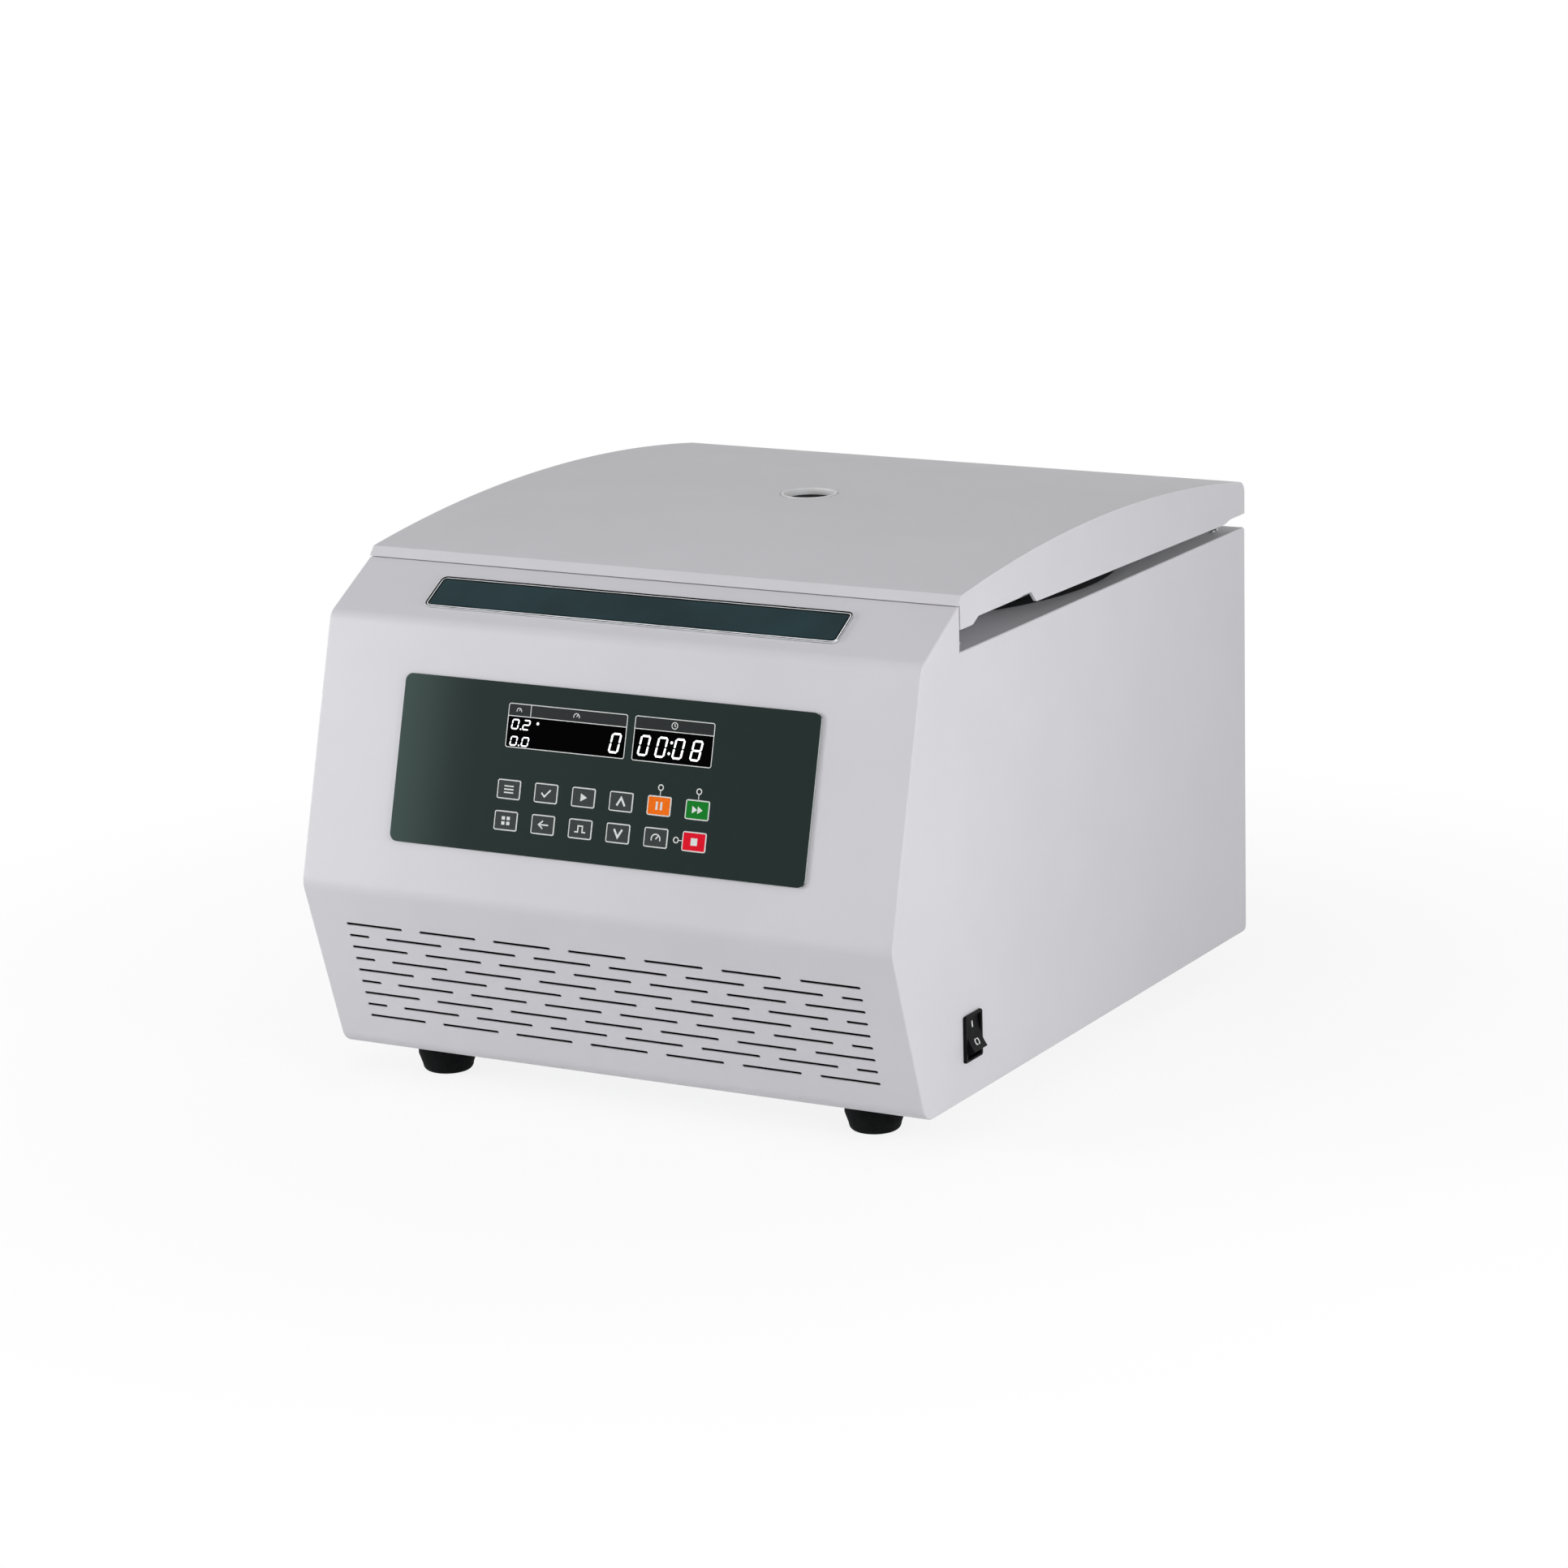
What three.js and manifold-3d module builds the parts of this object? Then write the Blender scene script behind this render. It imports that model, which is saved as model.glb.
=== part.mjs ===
import * as THREE from "three";
import { mergeVertices } from "three/addons/utils/BufferGeometryUtils.js";
import Module from "manifold-3d";

// Low-speed bench centrifuge with a hinged lid and a four-place swing-out rotor.
// Lengths are millimetres. X runs to the right, Y from the front to the back, Z up.
// Depths are counted from the foremost bend of the case, heights from its underside.

// Gaps and cuts
const seat = 0.3; // between pieces that rest on or beside each other
const overrun = 1; // how far a cutter passes the face that it cuts

// Case: one folded shell with three front faces and two side walls
const caseWidth = 400;
const caseDepth = 493;
const caseWall = 2;
const sideHeight = 266.8;
const toeSetback = 38;
const lowBendHeight = 110.5;
const highBendSetback = 43.5;
const highBendRise = 1.3; // above the side walls
const browSetback = 89.2;
const browRise = 26.7; // above the side walls
const browThickness = 2;
const browFlange = 8; // below the top of the side walls
const toeRadius = 10;
const lowBendRadius = 14;
const highBendRadius = 10;
const heelRadius = 4;
const toeLip = 24;

// Slots of the low front face
const slotRows = 9;
const slotsInRow = 7;
const slotHeight = 1.8;
const slotLength = 39.6;
const slotPitch = 51.7;
const slotEndLength = 14.2;
const slotRowPitch = 8.35;
const slotFirstRow = 23.9;

// Base plate, rear panel and feet
const basePlateThickness = 2;
const rearPanelThickness = 2;
const rearPanelInset = 3;
const rearSlotRows = 7;
const rearSlotLength = 90;
const rearSlotHeight = 3;
const rearSlotPitch = 9;
const rearSlotRise = 150;
const footHeight = 19.6;
const footRadius = 18;
const footTreadRadius = 12;
const footShoulderHeight = 10;
const footSideInset = 52;
const footInset = 73;

// Control panel on the main front face
const panelWidth = 281.2;
const panelHeight = 100.6;
const panelRise = 31.5;
const panelThickness = 1.2;
const panelRadius = 5;
const displayRise = 75.7;
const displayHeight = 26.2;
const displayDepth = 9;
const speedDisplayWidth = 81.2;
const speedDisplayX = -26.6;
const timeDisplayWidth = 53.4;
const timeDisplayX = 45.6;
const keyColumns = 6;
const keyWidth = 15.8;
const keyHeight = 11.5;
const keyProud = 0.25;
const keyTravel = 0.5;
const keyFirstX = -61.3;
const keyPitch = 25.5;
const keyUpperRise = 37.9;
const keyLowerRise = 19.4;
const lampRadius = 1.5;
const lampHeight = 1.3;
const lampAboveKey = 10.7;
const lampBesideKey = 12.1;
const boardWidth = 230;
const boardHeight = 84;
const boardThickness = 1.6;
const boardPostRadius = 3;

// Name strip on the upper front face
const stripWidth = 279.6;
const stripHeight = 27.3;
const stripRise = 12.2;
const stripRadius = 4;
const stripBezelWidth = 2.2;
const stripBezelThickness = 1.3;
const stripThickness = 0.8;

// Deck, chamber and seal
const deckRecess = 0.5;
const deckThickness = 2;
const lockStrip = 12.8;
const hingeStrip = 13;
const sealMargin = 12;
const sealRise = 12.2;
const sealFootWidth = 9.5;
const sealLipWidth = 18;
const sealLipThickness = 8;
const sealBevel = 2;
const bowlFlangeWidth = 8;
const bowlWall = 2;
const bowlDeckGap = 1;
const bowlCornerRise = 18;
const bowlNeckRadius = 20;
const bowlNeckRise = 6;
const ringSides = 40;

// Lid
const lidWall = 2;
const lidSeam = 0.7;
const lidChamferDepth = 4.8;
const lidChamferRise = 5.4;
const lidCrown = 12.6;
const lidPeakShare = 0.46926; // of the way from the brow to the lid's back
const lidBackInset = 0.5;
const lidBackRadius = 9;
const lidArcSteps = 14;
const lidFrontGap = 0.8;
const legDrop = 13; // gap of the front leg over the side wall, and so on for the next three
const notchDrop = 17.4;
const skirtFrontDrop = 10.4;
const skirtBackDrop = 6.9;
const legLength = 16;
const legSlope = 8.6;
const notchLength = 67.4;
const stepSlope = 7;
const heelLength = 22;
const heelSlope = 9;
const heelLift = 1.8;
const linerThickness = 1.6;
const linerMargin = 10;
const linerFrontGap = 2;
const linerTabGap = 2;
const bossRadius = 6;
const bossSideInset = 50;
const bossFrontInset = 38;
const bossBackInset = 67.5;
const sightRadius = 17.7;
const sightRimWidth = 1.9;
const sightShoulder = 2.3;
const sightProud = 0.5;
const sightRecess = 4;
const sightGlassThickness = 4;

// Lid hinges
const hingeSideInset = 70;
const hingePinRadius = 3;
const hingeHeadRadius = 5;
const hingeBackInset = 9;
const hingePivotRise = 11.7; // above the deck
const hingeLeafWidth = 40;
const hingeLeafDepth = 23;
const hingeLeafSetback = 29;
const hingeLeafThickness = 2;
const hingeEarThickness = 4;
const hingeEarGap = 16;
const hingePinLength = 26;
const bracketThickness = 2;
const bracketReach = 46;
const bracketPlateDepth = 16;
const bracketArmWidth = 15.4;

// Lid lock
const strikerWidth = 14;
const strikerThickness = 2;
const strikerSetback = 5.8;
const strikerFlangeDepth = 6.2;
const strikerDrop = 32.5;
const strikerSlotGapX = 2;
const strikerSlotGapFront = 2.5;
const strikerSlotGapBack = 1.3;
const strikerWindowWidth = 8;
const strikerWindowHeight = 8;
const strikerFoot = 3.5;
const boltSize = 5;
const boltLength = 15.5;
const boltSetback = 2.5;
const lockWidth = 36;
const lockDepth = 17.2;
const lockHeight = 22;

// Motor and its mounts
const mountRadius = 10;
const mountWaistRadius = 7;
const mountHeight = 17.4;
const mountCircle = 68;
const mountCount = 3;
const motorPlateRadius = 85;
const motorPlateThickness = 4;
const motorRadius = 55;
const motorEndRadius = 48;
const motorEndHeight = 8;
const motorBowlGap = 9;

// Rotor and buckets
const pivotDrop = 54.3; // trunnions below the deck
const pivotRadius = 70;
const swingClearance = 8;
const bucketFloorGap = 10;
const bucketCount = 4;
const bucketRadius = 25;
const bucketWall = 2;
const bucketFloor = 3;
const bucketTopRise = 14;
const bucketFootRadius = 15;
const bucketFootRise = 12;
const bucketSides = 24;
const trunnionRadius = 4;
const trunnionReach = 34;
const yokeGap = 0.8;
const yokeBarWidth = 10.2;
const yokeBarReach = 10;
const yokeBelowPivot = 12;
const yokeAbovePivot = 8;
const yokeHubRadius = 24;
const yokeHubRise = 2;
const shaftRadius = 8;
const shaftCollarRadius = 14;
const shaftCollarHeight = 8;
const shaftLowerRadius = 10;
const nutRadius = 16;
const nutTopRadius = 11;
const nutHeight = 19;
const nutGripHeight = 10;
const threadLength = 14;

// Electrics
const supplyWidth = 90;
const supplyDepth = 120;
const supplySideGap = 8;
const supplyRearGap = 33;
const supplyPostHeight = 9;
const supplyPartHeight = 28;
const supplyPartWidth = 40;
const supplyPartDepth = 50;
const inletSideInset = 60;
const inletZ = 62;
const inletFlangeWidth = 33;
const inletFlangeHeight = 25;
const inletFlangeThickness = 2.5;
const inletBodyWidth = 28;
const inletBodyHeight = 21;
const inletBodyDepth = 24;
const inletWall = 2;
const inletSocketDepth = 15;
const inletPinWidth = 2;
const inletPinHeight = 4;
const inletPinLength = 10;
const inletPinSpread = 14;
const inletPinDrop = 4;

// Mains switch on the right side wall
const switchY = 97.3;
const switchZ = 36.5;
const bezelWidth = 22.2;
const bezelHeight = 28.4;
const bezelThickness = 1.7;
const bezelOverlap = 0.8;
const switchWindowWidth = 17.2;
const switchWindowHeight = 25.2;
const switchBodyDepth = 18;
const switchBackWall = 2;
const rockerWidth = 16.6;
const rockerHalfHeight = 12.2;
const rockerFaceRise = 5.7; // pressed end over the pivot
const rockerMiddleRise = 7.1;
const rockerPivotDepth = 5.25; // below the side wall's face
const rockerEndDepth = 3.8;
const rockerKeelDepth = 4;
const rockerKeelInset = 3;
const rockerTilt = THREE.MathUtils.degToRad(17);

// Heights and depths that follow from the sizes above
const browHeight = sideHeight + browRise;
const highBendHeight = sideHeight + highBendRise;
const browBack = browSetback + browThickness;
const deckTop = sideHeight - deckRecess;
const deckBottom = deckTop - deckThickness;
const innerHalfWidth = caseWidth / 2 - caseWall;
const widthRoom = caseWidth / 2 - sealMargin;
const depthRoom = (caseDepth - browBack - lockStrip - hingeStrip) / 2;
const sealRadius = Math.min(widthRoom, depthRoom);
const rotorY = browBack + lockStrip + sealRadius;
const sealTop = deckTop + sealRise;
const bowlRadius = sealRadius - sealFootWidth - seat - bowlFlangeWidth;
const bowlInnerRadius = bowlRadius - bowlWall;
const pivotZ = deckTop - pivotDrop;
const bucketDrop = bowlInnerRadius - swingClearance - pivotRadius;
const bowlFloorTop = pivotZ - bucketDrop - bucketFloorGap;
const bowlFloorBottom = bowlFloorTop - bowlWall;
const mountBottom = basePlateThickness + seat;
const motorPlateBottom = mountBottom + mountHeight + seat;
const motorBottom = motorPlateBottom + motorPlateThickness + seat;
const motorTop = bowlFloorBottom - motorBowlGap;
const lidLipZ = browHeight + lidSeam;
const lidBrowY = browSetback + lidChamferDepth;
const lidBrowZ = lidLipZ + lidChamferRise;
const lidTop = lidBrowZ + lidCrown;
const lidBack = caseDepth - lidBackInset;
const lidPeakY = lidBrowY + lidPeakShare * (lidBack - lidBrowY);
const lidRun = lidPeakY - lidBrowY;
const lidArcRadius = (lidRun * lidRun + lidCrown * lidCrown) / (2 * lidCrown);
const lidFront = browBack + lidFrontGap;
const sightY = lidPeakY;
const linerBottom = sealTop + seat;
const linerTop = linerBottom + linerThickness;
const hingeX = caseWidth / 2 - hingeSideInset;
const hingeY = caseDepth - hingeBackInset;
const hingeZ = deckTop + hingePivotRise;
const panelFace = seat + panelThickness;
const rearPanelFace = caseDepth - rearPanelInset;
const inletX = caseWidth / 2 - inletSideInset;

const wasm = await Module();
wasm.setup();

// Geometry helpers

// A three.js geometry as a solid. Triangles that close up at a pole are dropped.
function solid(geometry) {
  const bare = geometry.clone();
  bare.deleteAttribute("normal");
  bare.deleteAttribute("uv");
  const merged = mergeVertices(bare);
  const index = merged.index.array;
  const kept = [];
  for (let i = 0; i < index.length; i += 3) {
    const [a, b, c] = [index[i], index[i + 1], index[i + 2]];
    if (a !== b && b !== c && c !== a) kept.push(a, b, c);
  }
  const vertProperties = new Float32Array(merged.attributes.position.array);
  const triVerts = new Uint32Array(kept);
  return new wasm.Manifold(new wasm.Mesh({ numProp: 3, vertProperties, triVerts }));
}

// A solid back as a three.js geometry.
function shape(manifold) {
  const mesh = manifold.getMesh();
  const geometry = new THREE.BufferGeometry();
  geometry.setAttribute("position", new THREE.BufferAttribute(mesh.vertProperties, mesh.numProp));
  geometry.setIndex(new THREE.BufferAttribute(mesh.triVerts, 1));
  geometry.computeVertexNormals();
  return geometry;
}

function joined(geometries) {
  return geometries.map(solid).reduce((sum, next) => sum.add(next));
}

function cut(geometry, cutters) {
  return shape(solid(geometry).subtract(joined(cutters)));
}

// A closed loop of corners [x, y, radius], each rounded by an arc in short steps.
function roundedLoop(corners, steps = 4) {
  const points = [];
  corners.forEach(([x, y, radius], i) => {
    const [px, py] = corners[(i + corners.length - 1) % corners.length];
    const [nx, ny] = corners[(i + 1) % corners.length];
    const here = new THREE.Vector2(x, y);
    const back = new THREE.Vector2(px, py).sub(here).normalize();
    const ahead = new THREE.Vector2(nx, ny).sub(here).normalize();
    const half = Math.acos(THREE.MathUtils.clamp(back.dot(ahead), -1, 1)) / 2;
    if (!radius) {
      points.push(here);
      return;
    }
    const centre = here.clone().addScaledVector(back.clone().add(ahead).normalize(), radius / Math.sin(half));
    const from = here.clone().addScaledVector(back, radius / Math.tan(half)).sub(centre);
    const sweep = Math.sign(back.cross(ahead)) * (Math.PI - 2 * half);
    for (let k = 0; k <= steps; k += 1) {
      const turned = from.clone().rotateAround(new THREE.Vector2(), (-sweep * k) / steps);
      points.push(turned.add(centre));
    }
  });
  return points;
}

function rectangle(width, height, radius = 0, x = 0, y = 0) {
  const [w, h] = [width / 2, height / 2];
  const corners = [[x - w, y - h], [x + w, y - h], [x + w, y + h], [x - w, y + h]];
  return roundedLoop(corners.map(([cx, cy]) => [cx, cy, radius]), 3);
}

function ringOf(radius, sides, x = 0, y = 0) {
  const points = [];
  for (let k = 0; k < sides; k += 1) {
    const turn = (2 * Math.PI * k) / sides;
    points.push(new THREE.Vector2(x + radius * Math.cos(turn), y + radius * Math.sin(turn)));
  }
  return points;
}

function prism(outline, height) {
  return new THREE.ExtrudeGeometry(new THREE.Shape(outline), { depth: height, bevelEnabled: false });
}

// A flat piece with holes, from height 0 to its thickness.
function plate(outline, thickness, holes = []) {
  const sheet = prism(outline, thickness);
  if (!holes.length) return sheet;
  return cut(sheet, holes.map((hole) => prism(hole, thickness + 2 * overrun).translate(0, 0, -overrun)));
}

// An outline in Y and Z, extruded along X and centred on it.
function acrossX(outline, width) {
  const across = new THREE.Matrix4().makeBasis(
    new THREE.Vector3(0, 1, 0),
    new THREE.Vector3(0, 0, 1),
    new THREE.Vector3(1, 0, 0),
  );
  return plate(outline, width).translate(0, 0, -width / 2).applyMatrix4(across);
}

// An outline in X and Z, extruded along Y and centred on it.
function acrossY(outline, width) {
  return plate(outline, width).translate(0, 0, -width / 2).rotateX(Math.PI / 2);
}

// A closed profile of [radius, height] turned about the Z axis.
function turned(profile, sides) {
  const points = profile.map(([radius, height]) => new THREE.Vector2(radius, height));
  if (!THREE.ShapeUtils.isClockWise(points)) points.reverse();
  return new THREE.LatheGeometry([...points, points[0].clone()].reverse(), sides).rotateX(Math.PI / 2);
}

function block(width, depth, height) {
  return new THREE.BoxGeometry(width, depth, height).translate(0, 0, height / 2);
}

function rod(radius, length, sides = 16) {
  return new THREE.CylinderGeometry(radius, radius, length, sides).rotateX(Math.PI / 2).translate(0, 0, length / 2);
}

// A round bar along X, centred on the origin.
function rodX(radius, length, sides = 16) {
  return new THREE.CylinderGeometry(radius, radius, length, sides).rotateZ(Math.PI / 2);
}

// The line through two corners of the case, moved inwards by the wall.
function insetLine([ay, az], [by, bz], wall) {
  const along = new THREE.Vector2(by - ay, bz - az).normalize();
  const start = new THREE.Vector2(ay + along.y * wall, az - along.x * wall);
  return { start, along };
}

function meet(first, second) {
  const between = second.start.clone().sub(first.start);
  const reach = between.cross(second.along) / first.along.cross(second.along);
  const point = first.start.clone().addScaledVector(first.along, reach);
  return [point.x, point.y];
}

// The frame of a front face: X to the right, Y up the face, Z out of it.
function faceFrame([fromY, fromZ], [toY, toZ]) {
  const up = new THREE.Vector3(0, toY - fromY, toZ - fromZ).normalize();
  const right = new THREE.Vector3(1, 0, 0);
  const out = new THREE.Vector3().crossVectors(right, up);
  return new THREE.Matrix4().makeBasis(right, up, out).setPosition(0, fromY, fromZ);
}

// Materials and meshes

function finish(colour, roughness, metalness = 0) {
  return new THREE.MeshStandardMaterial({ color: colour, roughness, metalness });
}

const paint = finish(0xd8d8dc, 0.5);
const deckPaint = finish(0x96979b, 0.5);
const blackPlastic = finish(0x151617, 0.4);
const rubber = finish(0x1a1a1b, 0.85);
const panelFilm = finish(0x28342f, 0.3);
const windowGloss = finish(0x050606, 0.12);
const keyGrey = finish(0x3c4141, 0.45);
const orange = finish(0xf06e14, 0.45);
const green = finish(0x14822d, 0.45);
const red = finish(0xdc1432, 0.45);
const lampLens = finish(0xcfd6d2, 0.2);
const stripTeal = finish(0x233336, 0.15);
const steel = finish(0xb9bcc0, 0.3, 1);
const aluminium = finish(0xc3c6c9, 0.4, 1);
const darkMetal = finish(0x3a3c3f, 0.5, 0.6);
const circuit = finish(0x1c5a34, 0.6);
const glass = finish(0xdfe8ea, 0.05);

const centrifuge = new THREE.Group();
centrifuge.position.set(0, -caseDepth / 2, footHeight);

function add(name, geometry, material, parent = centrifuge) {
  const mesh = new THREE.Mesh(geometry, material);
  mesh.name = name;
  parent.add(mesh);
  return mesh;
}

function groupAt(x, y, z) {
  const group = new THREE.Group();
  group.position.set(x, y, z);
  centrifuge.add(group);
  return group;
}

// Case

const toe = [toeSetback, 0];
const lowBend = [0, lowBendHeight];
const highBend = [highBendSetback, highBendHeight];
const brow = [browSetback, browHeight];
const lowFace = faceFrame(toe, lowBend);
const mainFace = faceFrame(lowBend, highBend);
const upperFace = faceFrame(highBend, brow);

function sideOutline() {
  return roundedLoop([
    [...toe, toeRadius],
    [...lowBend, lowBendRadius],
    [...highBend, highBendRadius],
    [...brow, 0],
    [browBack, browHeight, 0],
    [browBack, sideHeight, 0],
    [caseDepth, sideHeight, 0],
    [caseDepth, 0, heelRadius],
  ]);
}

// The hollow runs out through the bottom, the back and the top behind the brow.
function hollowOutline() {
  const floor = { start: new THREE.Vector2(0, caseWall), along: new THREE.Vector2(-1, 0) };
  const low = insetLine(toe, lowBend, caseWall);
  const main = insetLine(lowBend, highBend, caseWall);
  const upper = insetLine(highBend, brow, caseWall);
  const upright = { start: new THREE.Vector2(browBack - caseWall, 0), along: new THREE.Vector2(0, 1) };
  const lipEnd = toeSetback + toeLip;
  const flangeEnd = sideHeight - browFlange;
  return roundedLoop([
    [lipEnd, -overrun, 0],
    [lipEnd, caseWall, 0],
    [...meet(floor, low), toeRadius - caseWall],
    [...meet(low, main), lowBendRadius - caseWall],
    [...meet(main, upper), highBendRadius - caseWall],
    [...meet(upper, upright), 0],
    [browBack - caseWall, flangeEnd, 0],
    [browBack, flangeEnd, 0],
    [browBack, sideHeight + overrun, 0],
    [caseDepth + overrun, sideHeight + overrun, 0],
    [caseDepth + overrun, -overrun, 0],
  ]);
}

function slotCutter(length, x, rise) {
  return new THREE.BoxGeometry(length, slotHeight, 2 * caseWall + overrun)
    .translate(x, rise, -caseWall)
    .applyMatrix4(lowFace);
}

// Rows take turns: whole slots, then slots moved half a pitch with a short one at each end.
function frontSlots() {
  const cutters = [];
  const rowEnd = ((slotsInRow - 1) * slotPitch + slotLength) / 2;
  for (let row = 0; row < slotRows; row += 1) {
    const rise = slotFirstRow + row * slotRowPitch;
    const shifted = row % 2;
    const count = slotsInRow - shifted;
    for (let k = 0; k < count; k += 1) {
      cutters.push(slotCutter(slotLength, (k - (count - 1) / 2) * slotPitch, rise));
    }
    if (shifted) {
      const endX = rowEnd - slotEndLength / 2;
      cutters.push(slotCutter(slotEndLength, -endX, rise), slotCutter(slotEndLength, endX, rise));
    }
  }
  return cutters;
}

function displayCutter(width, x) {
  return new THREE.BoxGeometry(width + 2 * seat, displayHeight + 2 * seat, 2 * caseWall + overrun)
    .translate(x, panelRise + displayRise, -caseWall)
    .applyMatrix4(mainFace);
}

const switchBodyWidth = bezelWidth - 2 * bezelOverlap;
const switchBodyHeight = bezelHeight - 2 * bezelOverlap;

function switchCutter() {
  return new THREE.BoxGeometry(2 * caseWall + overrun, switchBodyWidth + 2 * seat, switchBodyHeight + 2 * seat)
    .translate(caseWidth / 2 - caseWall / 2, switchY, switchZ);
}

function makeHousing() {
  const hollow = acrossX(hollowOutline(), 2 * innerHalfWidth);
  const windows = [
    displayCutter(speedDisplayWidth, speedDisplayX),
    displayCutter(timeDisplayWidth, timeDisplayX),
    switchCutter(),
  ];
  return cut(acrossX(sideOutline(), caseWidth), [hollow, ...frontSlots(), ...windows]);
}

add("housing", makeHousing(), paint);

// Base plate, rear panel and feet

const insideWidth = 2 * (innerHalfWidth - seat);
const basePlateFront = toeSetback + toeLip + seat;
const basePlateDepth = rearPanelFace - seat - basePlateFront;

add("base_plate", block(insideWidth, basePlateDepth, basePlateThickness), steel).position.y =
  basePlateFront + basePlateDepth / 2;

function makeRearPanel() {
  const bottom = basePlateThickness + seat;
  const height = deckBottom - seat - bottom;
  const middle = bottom + height / 2;
  const holes = [rectangle(inletBodyWidth + 2 * seat, inletBodyHeight + 2 * seat, 0, inletX, inletZ)];
  for (let row = 0; row < rearSlotRows; row += 1) {
    for (const side of [-1, 1]) {
      const x = (side * caseWidth) / 4;
      holes.push(rectangle(rearSlotLength, rearSlotHeight, 0, x, rearSlotRise + row * rearSlotPitch));
    }
  }
  return plate(rectangle(insideWidth, height, 0, 0, middle), rearPanelThickness, holes).rotateX(Math.PI / 2);
}

add("rear_panel", makeRearPanel(), paint).position.y = rearPanelFace;

function makeFoot() {
  const height = footHeight - seat;
  return turned(
    [
      [0, 0],
      [footTreadRadius, 0],
      [(footTreadRadius + footRadius) / 2, footShoulderHeight / 3],
      [footRadius, footShoulderHeight],
      [footRadius, height],
      [0, height],
    ],
    20,
  );
}

for (const [end, y] of [["front", footInset], ["rear", caseDepth - footInset]]) {
  for (const [side, sign] of [["left", -1], ["right", 1]]) {
    const x = sign * (caseWidth / 2 - footSideInset);
    add(`foot_${end}_${side}`, makeFoot(), rubber).position.set(x, y, -footHeight);
  }
}

// Control panel, in the frame of the main face with its origin at the panel's lower edge

const panel = new THREE.Group();
panel.applyMatrix4(mainFace);
panel.translateY(panelRise);
centrifuge.add(panel);

const keyNames = [
  ["menu", "confirm", "start", "up", "pause", "run"],
  ["program", "back", "pulse", "down", "speed", "stop"],
];
const keyPaints = { pause: orange, run: green, stop: red };
const keyPlaces = keyNames.flatMap((row, r) =>
  row.slice(0, keyColumns).map((name, c) => ({
    name,
    x: keyFirstX + c * keyPitch,
    y: r ? keyLowerRise : keyUpperRise,
  })),
);
const keyAt = (wanted) => keyPlaces.find((key) => key.name === wanted);
const lampPlaces = [
  { name: "pause", x: keyAt("pause").x, y: keyUpperRise + lampAboveKey },
  { name: "run", x: keyAt("run").x, y: keyUpperRise + lampAboveKey },
  { name: "stop", x: keyAt("stop").x - lampBesideKey, y: keyLowerRise },
];

function makePanelOverlay() {
  const window = (width, x) => rectangle(width + 2 * seat, displayHeight + 2 * seat, 0, x, displayRise);
  const holes = [window(speedDisplayWidth, speedDisplayX), window(timeDisplayWidth, timeDisplayX)];
  for (const { x, y } of keyPlaces) {
    holes.push(rectangle(keyWidth + 2 * seat, keyHeight + 2 * seat, 0, x, y));
  }
  for (const { x, y } of lampPlaces) {
    holes.push(ringOf(lampRadius + seat, 10, x, y));
  }
  return plate(rectangle(panelWidth, panelHeight, panelRadius, 0, panelHeight / 2), panelThickness, holes);
}

add("panel_overlay", makePanelOverlay(), panelFilm, panel).position.z = seat;

for (const [name, width, x] of [
  ["display_speed", speedDisplayWidth, speedDisplayX],
  ["display_time", timeDisplayWidth, timeDisplayX],
]) {
  const module = block(width, displayHeight, displayDepth + panelFace);
  add(name, module, windowGloss, panel).position.set(x, displayRise, -displayDepth);
}

const keyThickness = panelThickness + keyProud - keyTravel;
for (const { name, x, y } of keyPlaces) {
  const cap = block(keyWidth, keyHeight, keyThickness);
  add(`key_${name}`, cap, keyPaints[name] ?? keyGrey, panel).position.set(x, y, panelFace + keyProud - keyThickness);
}

for (const { name, x, y } of lampPlaces) {
  add(`lamp_${name}`, rod(lampRadius, lampHeight, 10), lampLens, panel).position.set(x, y, seat);
}

// The board stands behind the displays on four posts that end at the case.
function makeControlBoard() {
  const parts = [block(boardWidth, boardHeight, boardThickness)];
  const reach = displayDepth - caseWall;
  for (const x of [-1, 1]) {
    for (const y of [-1, 1]) {
      const post = rod(boardPostRadius, reach + boardThickness, 8);
      post.translate(x * (boardWidth / 2 - 2 * boardPostRadius), y * (boardHeight / 2 - 2 * boardPostRadius), 0);
      parts.push(post);
    }
  }
  return shape(joined(parts));
}

add("control_board", makeControlBoard(), circuit, panel).position.set(
  0,
  panelHeight / 2,
  -displayDepth - seat - boardThickness,
);

// Name strip

const strip = new THREE.Group();
strip.applyMatrix4(upperFace);
strip.translateY(stripRise + stripHeight / 2);
centrifuge.add(strip);

function makeStripBezel() {
  const inner = rectangle(
    stripWidth - 2 * stripBezelWidth,
    stripHeight - 2 * stripBezelWidth,
    stripRadius - stripBezelWidth / 2,
  );
  return plate(rectangle(stripWidth, stripHeight, stripRadius), stripBezelThickness, [inner]);
}

function makeNameStrip() {
  const rim = stripBezelWidth + seat;
  return plate(rectangle(stripWidth - 2 * rim, stripHeight - 2 * rim, stripRadius - rim / 2), stripThickness);
}

add("strip_bezel", makeStripBezel(), windowGloss, strip).position.z = seat;
add("name_strip", makeNameStrip(), stripTeal, strip).position.z = seat;

// Deck, bowl and seal

const strikerY = browBack + strikerSetback + strikerThickness / 2;
const lockSlotFront = strikerY - strikerThickness / 2 - strikerSlotGapFront;
const lockSlotBack = strikerY + strikerThickness / 2 + strikerSlotGapBack;

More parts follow.
